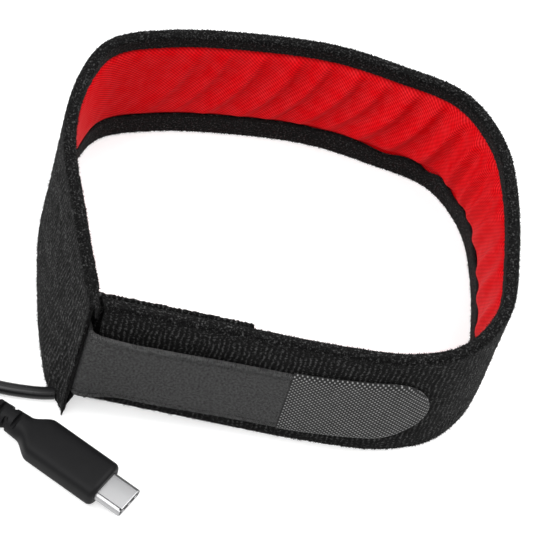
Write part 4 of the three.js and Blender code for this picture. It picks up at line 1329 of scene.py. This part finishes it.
@dataclass
class CoilTies:
    """Two woven ties round the stored coil."""

    radius: float = 17.0
    build: float = 9.4
    lift: float = 0.9
    gap: float = 0.12
    thickness: float = 0.6
    width: float = 4.0
    turns: tuple[tuple[str, float, str], ...] = (
        ("coil_wrap_near", 1.5 * math.pi, "coil_tie_near"), ("coil_wrap_far", math.pi, "coil_tie_far"),
    )

    def build_all(self) -> None:
        """Makes both ties as closed woven loops with soft corners."""
        for name, turn, node in self.turns:
            inner = self.build / 2 + self.gap
            corner = 1.9
            loop = []
            for quarter in range(4):
                centre_angle = math.radians(45 + 90 * quarter)
                cx = math.copysign(inner - corner, math.cos(centre_angle))
                cy = math.copysign(inner - corner, math.sin(centre_angle))
                for i in range(9):
                    angle = math.radians(90 * quarter + 90 * i / 8)
                    loop.append((cx, cy, math.cos(angle), math.sin(angle)))
            half = self.width / 2
            profile = [
                (corner, -half + 0.15), (corner, half - 0.15), (corner + 0.15, half),
                (corner + self.thickness - 0.15, half), (corner + self.thickness, half - 0.15),
                (corner + self.thickness, -half + 0.15), (corner + self.thickness - 0.15, -half),
                (corner + 0.15, -half),
            ]
            points, places = [], []
            run = 0.0
            spin = Matrix.Rotation(turn, 3, "Z")
            last = None
            for cx, cy, dx, dy in loop:
                spot = (cx + corner * dx, cy + corner * dy)
                run += math.dist(spot, last) if last else 0.0
                last = spot
                for reach, side in profile:
                    up = self.lift + self.build / 2 + cy + reach * dy
                    point = spin @ Vector((self.radius + cx + reach * dx, side, up))
                    x, y = Lead().coil_centre
                    points.append((point.x + x + BAND.shift[0], point.y + y + BAND.shift[1], max(point.z, 0.0)))
                    places.append((run, reach, side))
            faces = grid_faces(len(loop), len(profile), ring=True, caps=False)
            count = len(profile)
            first = (len(loop) - 1) * count
            faces += [(first + c, first + (c + 1) % count, (c + 1) % count, c) for c in range(count)]
            piece = mesh_object(name, np.array(points), faces, TIE)
            note_cloth(piece, np.array(places))
            faces_out(piece)
            finish_piece(piece, "tie", node)


@dataclass
class Plug:
    """The plug: moulded grip with its slotted sleeve, and the drawn shell with what it holds."""

    position: tuple[float, float] = (-19.2, -61.7)
    heading_deg: float = -20.5
    width: float = 11.1
    height: float = 6.6
    length: float = 17.9
    nose: float = 1.3
    flare: float = 5.0
    sleeve: float = 6.2
    sleeve_tip: float = 4.6
    sleeve_length: float = 13.0
    slot_pitch: float = 2.3
    slot_width: float = 1.2
    slot_depth: float = 1.6
    slot_count: int = 5
    slot_start: float = 1.6
    shell_width: float = 8.25
    shell_height: float = 2.4
    shell_wall: float = 0.25
    shell_reach: float = 6.65
    shell_seat: float = 4.0
    seam: float = 0.16
    around: int = 72

    def on_axis(self, x: float) -> tuple[float, float]:
        """Gives a place on the plug's axis in plan, in the loop's drawing."""
        angle = math.radians(self.heading_deg)
        return (self.position[0] + x * math.cos(angle), self.position[1] + x * math.sin(angle))

    def sleeve_end(self) -> float:
        """Gives where the sleeve ends on the plug's axis."""
        return -self.length - self.flare - self.sleeve_length

    def placed(self, local: np.ndarray) -> np.ndarray:
        """Moves points from the plug's own axes to the part's frame."""
        angle = math.radians(self.heading_deg)
        x, y, z = local[:, 0], local[:, 1], local[:, 2]
        return np.stack([
            self.position[0] + BAND.shift[0] + x * math.cos(angle) - y * math.sin(angle),
            self.position[1] + BAND.shift[1] + x * math.sin(angle) + y * math.cos(angle),
            z + self.height / 2,
        ], axis=-1)

    def half_sizes(self, x: float) -> tuple[float, float]:
        """Gives the grip's half width and half height at a place along its axis."""
        back = -self.length
        neck = back - self.flare
        if x > back:
            nose = max(0.0, (x + self.nose) / self.nose)
            inset = self.nose * (1 - math.sqrt(max(0.0, 1 - nose * nose)))
            return self.width / 2 - inset * 0.8, self.height / 2 - inset * 0.6
        if x > neck:
            share = float(smooth(x, neck, back))
            radius = self.sleeve / 2
            return radius + (self.width / 2 - radius) * share, radius + (self.height / 2 - radius) * share
        share = (x - neck + self.sleeve_length) / self.sleeve_length
        half = (self.sleeve_tip + (self.sleeve - self.sleeve_tip) * share) / 2
        return half, half

    def outline(self, half_width: float, half_height: float) -> np.ndarray:
        """Draws the grip's section: round on the sleeve, soft-cornered on the grip."""
        span = self.width / 2 - self.sleeve / 2
        square = min(1.0, max(0.0, (half_width - self.sleeve / 2) / span))
        exponent = 2 + 1.5 * square
        angle = np.linspace(0, 2 * math.pi, self.around, endpoint=False)
        c, s = np.cos(angle), np.sin(angle)
        y = half_width * np.sign(c) * np.abs(c) ** (2 / exponent)
        z = half_height * np.sign(s) * np.abs(s) ** (2 / exponent)
        return np.stack([y, z], axis=-1)

    def build_grip(self) -> bpy.types.Object:
        """Lofts the grip, then cuts the seat of the shell and the sleeve's slots."""
        end = self.sleeve_end()
        stations = [end, end + 0.15, end + 0.4]
        stations += list(np.linspace(end + 0.8, -self.length - self.flare - 0.3, 24))
        stations += list(np.linspace(-self.length - self.flare, -self.length, 16))
        stations += list(np.linspace(-self.length + 0.8, -self.nose, 14))
        stations += [-self.nose * (1 - math.sin(math.pi / 2 * i / 10) * 0.985) for i in range(1, 11)]
        rows = []
        for x in stations:
            half_width, half_height = self.half_sizes(x)
            edge = 0.35 * (1 - float(smooth(x, end, end + 0.4)))
            loop = self.outline(half_width - edge, half_height - edge)
            rows.append(np.column_stack([np.full(len(loop), x), loop]))
        piece = mesh_object(
            "plug_grip_moulding", self.placed(np.vstack(rows)),
            grid_faces(len(rows), self.around, ring=True), GRIP,
        )
        faces_out(piece)
        self.cut(piece, self.tools())
        finish_piece(piece, "grip", "plug_grip")
        return piece

    def tools(self) -> list[bpy.types.Object]:
        """Makes the cutting bodies: the seat of the shell and the slots in turn on two pairs of sides."""
        made = []
        seat = self.stadium(self.shell_width + 0.16, self.shell_height + 0.16)
        rows = [np.column_stack([np.full(len(seat), x), seat]) for x in (-self.shell_seat - 0.1, 1.0)]
        made.append(
            mesh_object("seat_tool", self.placed(np.vstack(rows)), grid_faces(2, len(seat), ring=True), GRIP),
        )
        for i in range(self.slot_count):
            x = -self.length - self.flare - self.slot_start - i * self.slot_pitch
            core = self.half_sizes(x)[0] - self.slot_depth
            upright = i % 2 == 0
            for side in (-1, 1):
                near, far = core, core + self.sleeve
                half = 0.9 * self.sleeve
                loop = self.rounded_slot(x)
                ys = (-half, half)
                rows = []
                if upright:
                    for y in ys:
                        rows.append(np.array([[px, y, side * (near + pz * (far - near))] for px, pz in loop]))
                else:
                    for z in ys:
                        rows.append(np.array([[px, side * (near + pz * (far - near)), z] for px, pz in loop]))
                made.append(
                    mesh_object(
                        f"slot_tool_{i}_{side + 1}", self.placed(np.vstack(rows)),
                        grid_faces(2, len(loop), ring=True), GRIP,
                    ),
                )
        for tool in made:
            faces_out(tool)
        return made

    def rounded_slot(self, x: float) -> list[tuple[float, float]]:
        """Draws a slot's outline, round at its bottom: place along the axis and share of its depth."""
        half = self.slot_width / 2
        low = half / self.sleeve
        arc = [math.pi + math.pi * i / 8 for i in range(9)]
        bottom = [(x + half * math.cos(a), low + low * math.sin(a)) for a in arc]
        return bottom + [(x + half, 1.0), (x - half, 1.0)]

    def stadium(self, width: float, height: float, count: int = 16) -> np.ndarray:
        """Draws a flat-sided loop with half-round ends."""
        radius = height / 2
        reach = width / 2 - radius
        turn = np.linspace(-math.pi / 2, math.pi / 2, count)
        right = np.stack([reach + radius * np.cos(turn), radius * np.sin(turn)], axis=-1)
        return np.vstack([right, -right])

    def cut(self, piece: bpy.types.Object, tools: list[bpy.types.Object]) -> None:
        """Cuts each tool away, softens the new edges and keeps the result as the mesh.

        Args:
            piece: the piece that is cut.
            tools: the cutting bodies, which are removed.
        """
        for tool in tools:
            step = piece.modifiers.new("cut", "BOOLEAN")
            step.operation = "DIFFERENCE"
            step.solver = "EXACT"
            step.object = tool
        graph = bpy.context.evaluated_depsgraph_get()
        result = bpy.data.meshes.new_from_object(piece.evaluated_get(graph))
        piece.modifiers.clear()
        piece.data = result
        for tool in tools:
            bpy.data.objects.remove(tool)
        split_sharp(piece, 38)

    def build_shell(self) -> bpy.types.Object:
        """Lofts the shell with its rounded mouth, and opens its lengthwise seam."""
        outer_size, inner_size = (self.shell_width, self.shell_height), (
            self.shell_width - 2 * self.shell_wall, self.shell_height - 2 * self.shell_wall,
        )
        lip = self.shell_wall / 2
        rows = []
        rim = self.shell_reach - lip
        stations = [*np.linspace(-self.shell_seat + 0.05, rim - 0.05, 12), rim]
        for x in stations:
            rows.append(np.column_stack([np.full(32, x), self.stadium(*outer_size)]))
        for angle in np.linspace(0, math.pi, 7)[1:-1]:
            shrink = 2 * (lip - lip * math.cos(angle))
            loop = self.stadium(outer_size[0] - shrink, outer_size[1] - shrink)
            rows.append(np.column_stack([np.full(32, rim + lip * math.sin(angle)), loop]))
        for x in stations[::-1]:
            rows.append(np.column_stack([np.full(32, x), self.stadium(*inner_size)]))
        faces = grid_faces(len(rows), 32, ring=True, caps=False)
        last = (len(rows) - 1) * 32
        faces += [(last + c, last + (c + 1) % 32, (c + 1) % 32, c) for c in range(32)]
        piece = mesh_object("plug_shell_drawn", self.placed(np.vstack(rows)), faces, SHELL)
        faces_out(piece)
        seam_y = -(self.shell_width / 2 - self.shell_height / 2 + 0.15)
        tools = []
        half = self.seam / 2
        past = self.shell_reach + 1
        low, high = self.shell_height / 2 - self.shell_wall - 0.15, self.shell_height
        for name, x0, x1, y0, y1 in (
            ("seam_tool", -self.shell_seat + 1, past, seam_y - half, seam_y + half),
            ("notch_tool", self.shell_reach - 0.45, past, seam_y - 0.45, seam_y),
        ):
            corners = np.array([
                (x, y, z) for x in (x0, x1) for y, z in ((y0, low), (y1, low), (y1, high), (y0, high))
            ])
            tools.append(mesh_object(name, self.placed(corners), grid_faces(2, 4, ring=True), SHELL))
            faces_out(tools[-1])
        self.cut(piece, tools)
        finish_piece(piece, "steel", "plug_shell")
        return piece


    def build_mouth(self) -> None:
        """Makes the black bezel round the mouth's slot, and the three bright spring pads that show in it."""
        inside = 2 * self.shell_wall + 0.06
        width, height = self.shell_width - inside, self.shell_height - inside
        back, front = self.shell_reach - 0.33, self.shell_reach - 0.03
        loops = [(back, width, height), (front, width, height), (front, 6.7, 0.75), (back, 6.7, 0.75)]
        rows = [np.column_stack([np.full(32, x), self.stadium(w, h)]) for x, w, h in loops]
        faces = grid_faces(4, 32, ring=True, caps=False)
        faces += [(96 + c, 96 + (c + 1) % 32, (c + 1) % 32, c) for c in range(32)]
        bezel = mesh_object("plug_mouth_bezel", self.placed(np.vstack(rows)), faces, INSERT)
        faces_out(bezel)
        split_sharp(bezel, 38)
        finish_piece(bezel, "insert")
        for name, y in (("left", -2.4), ("middle", 0.0), ("right", 2.4)):
            corners = np.array([
                (x, y + side, z) for x in (back + 0.02, front + 0.03)
                for side, z in ((-0.42, -0.38), (0.42, -0.38), (0.42, 0.0), (-0.42, 0.0))
            ])
            pad = mesh_object(f"spring_pad_{name}", self.placed(corners), grid_faces(2, 4, ring=True), SPRING)
            faces_out(pad)
            split_sharp(pad, 38)
            finish_piece(pad, "steel")


def split_sharp(piece: bpy.types.Object, limit_deg: float) -> None:
    """Keeps edges sharper than the limit crisp under smooth shading."""
    piece.data.shade_smooth()
    piece.data.set_sharp_from_angle(angle=math.radians(limit_deg))


@dataclass
class CadNodes:
    """Carried-over rigid and hidden nodes, each with its finish."""

    finishes: dict[str, Finish] = field(default_factory=lambda: {
        "foam_pad": FOAM, "heater_carrier": CARRIER, "heating_wire": WIRE, "crimp_sleeve_": SHELL,
        "lead_core_red": RED_CORE, "lead_core_black": BLACK_CORE, "plug_insert": INSERT, "contact_": GOLD,
        "latch_spring_": SPRING, "ground_spring_": SPRING, "plug_card": CARD,
    })

    def dress(self) -> None:
        """Gives each node the finish whose name it starts with."""
        for name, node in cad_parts.items():
            for start, finish in self.finishes.items():
                if name.startswith(start):
                    node.data.materials.clear()
                    node.data.materials.append(finish.make())


def main() -> None:
    """Builds the studio, the lead and the pieces of the strip in order."""
    logging.basicConfig(level=logging.INFO, format="%(name)s: %(message)s")
    studio = Studio()
    studio.add_camera()
    lead = Lead()
    cord = lead.build()
    studio.add_floor()
    studio.light()
    band = Band()
    band.build_cover()
    band.build_fibres()
    band.build_facing()
    band.build_liner()
    strap = StrapAndTab()
    strap.build_strap()
    strap.build_tab()
    CoilTies().build_all()
    plug = Plug()
    plug.build_grip()
    plug.build_shell()
    plug.build_mouth()
    lead.declare()
    CadNodes().dress()


if __name__ == "__main__":
    main()
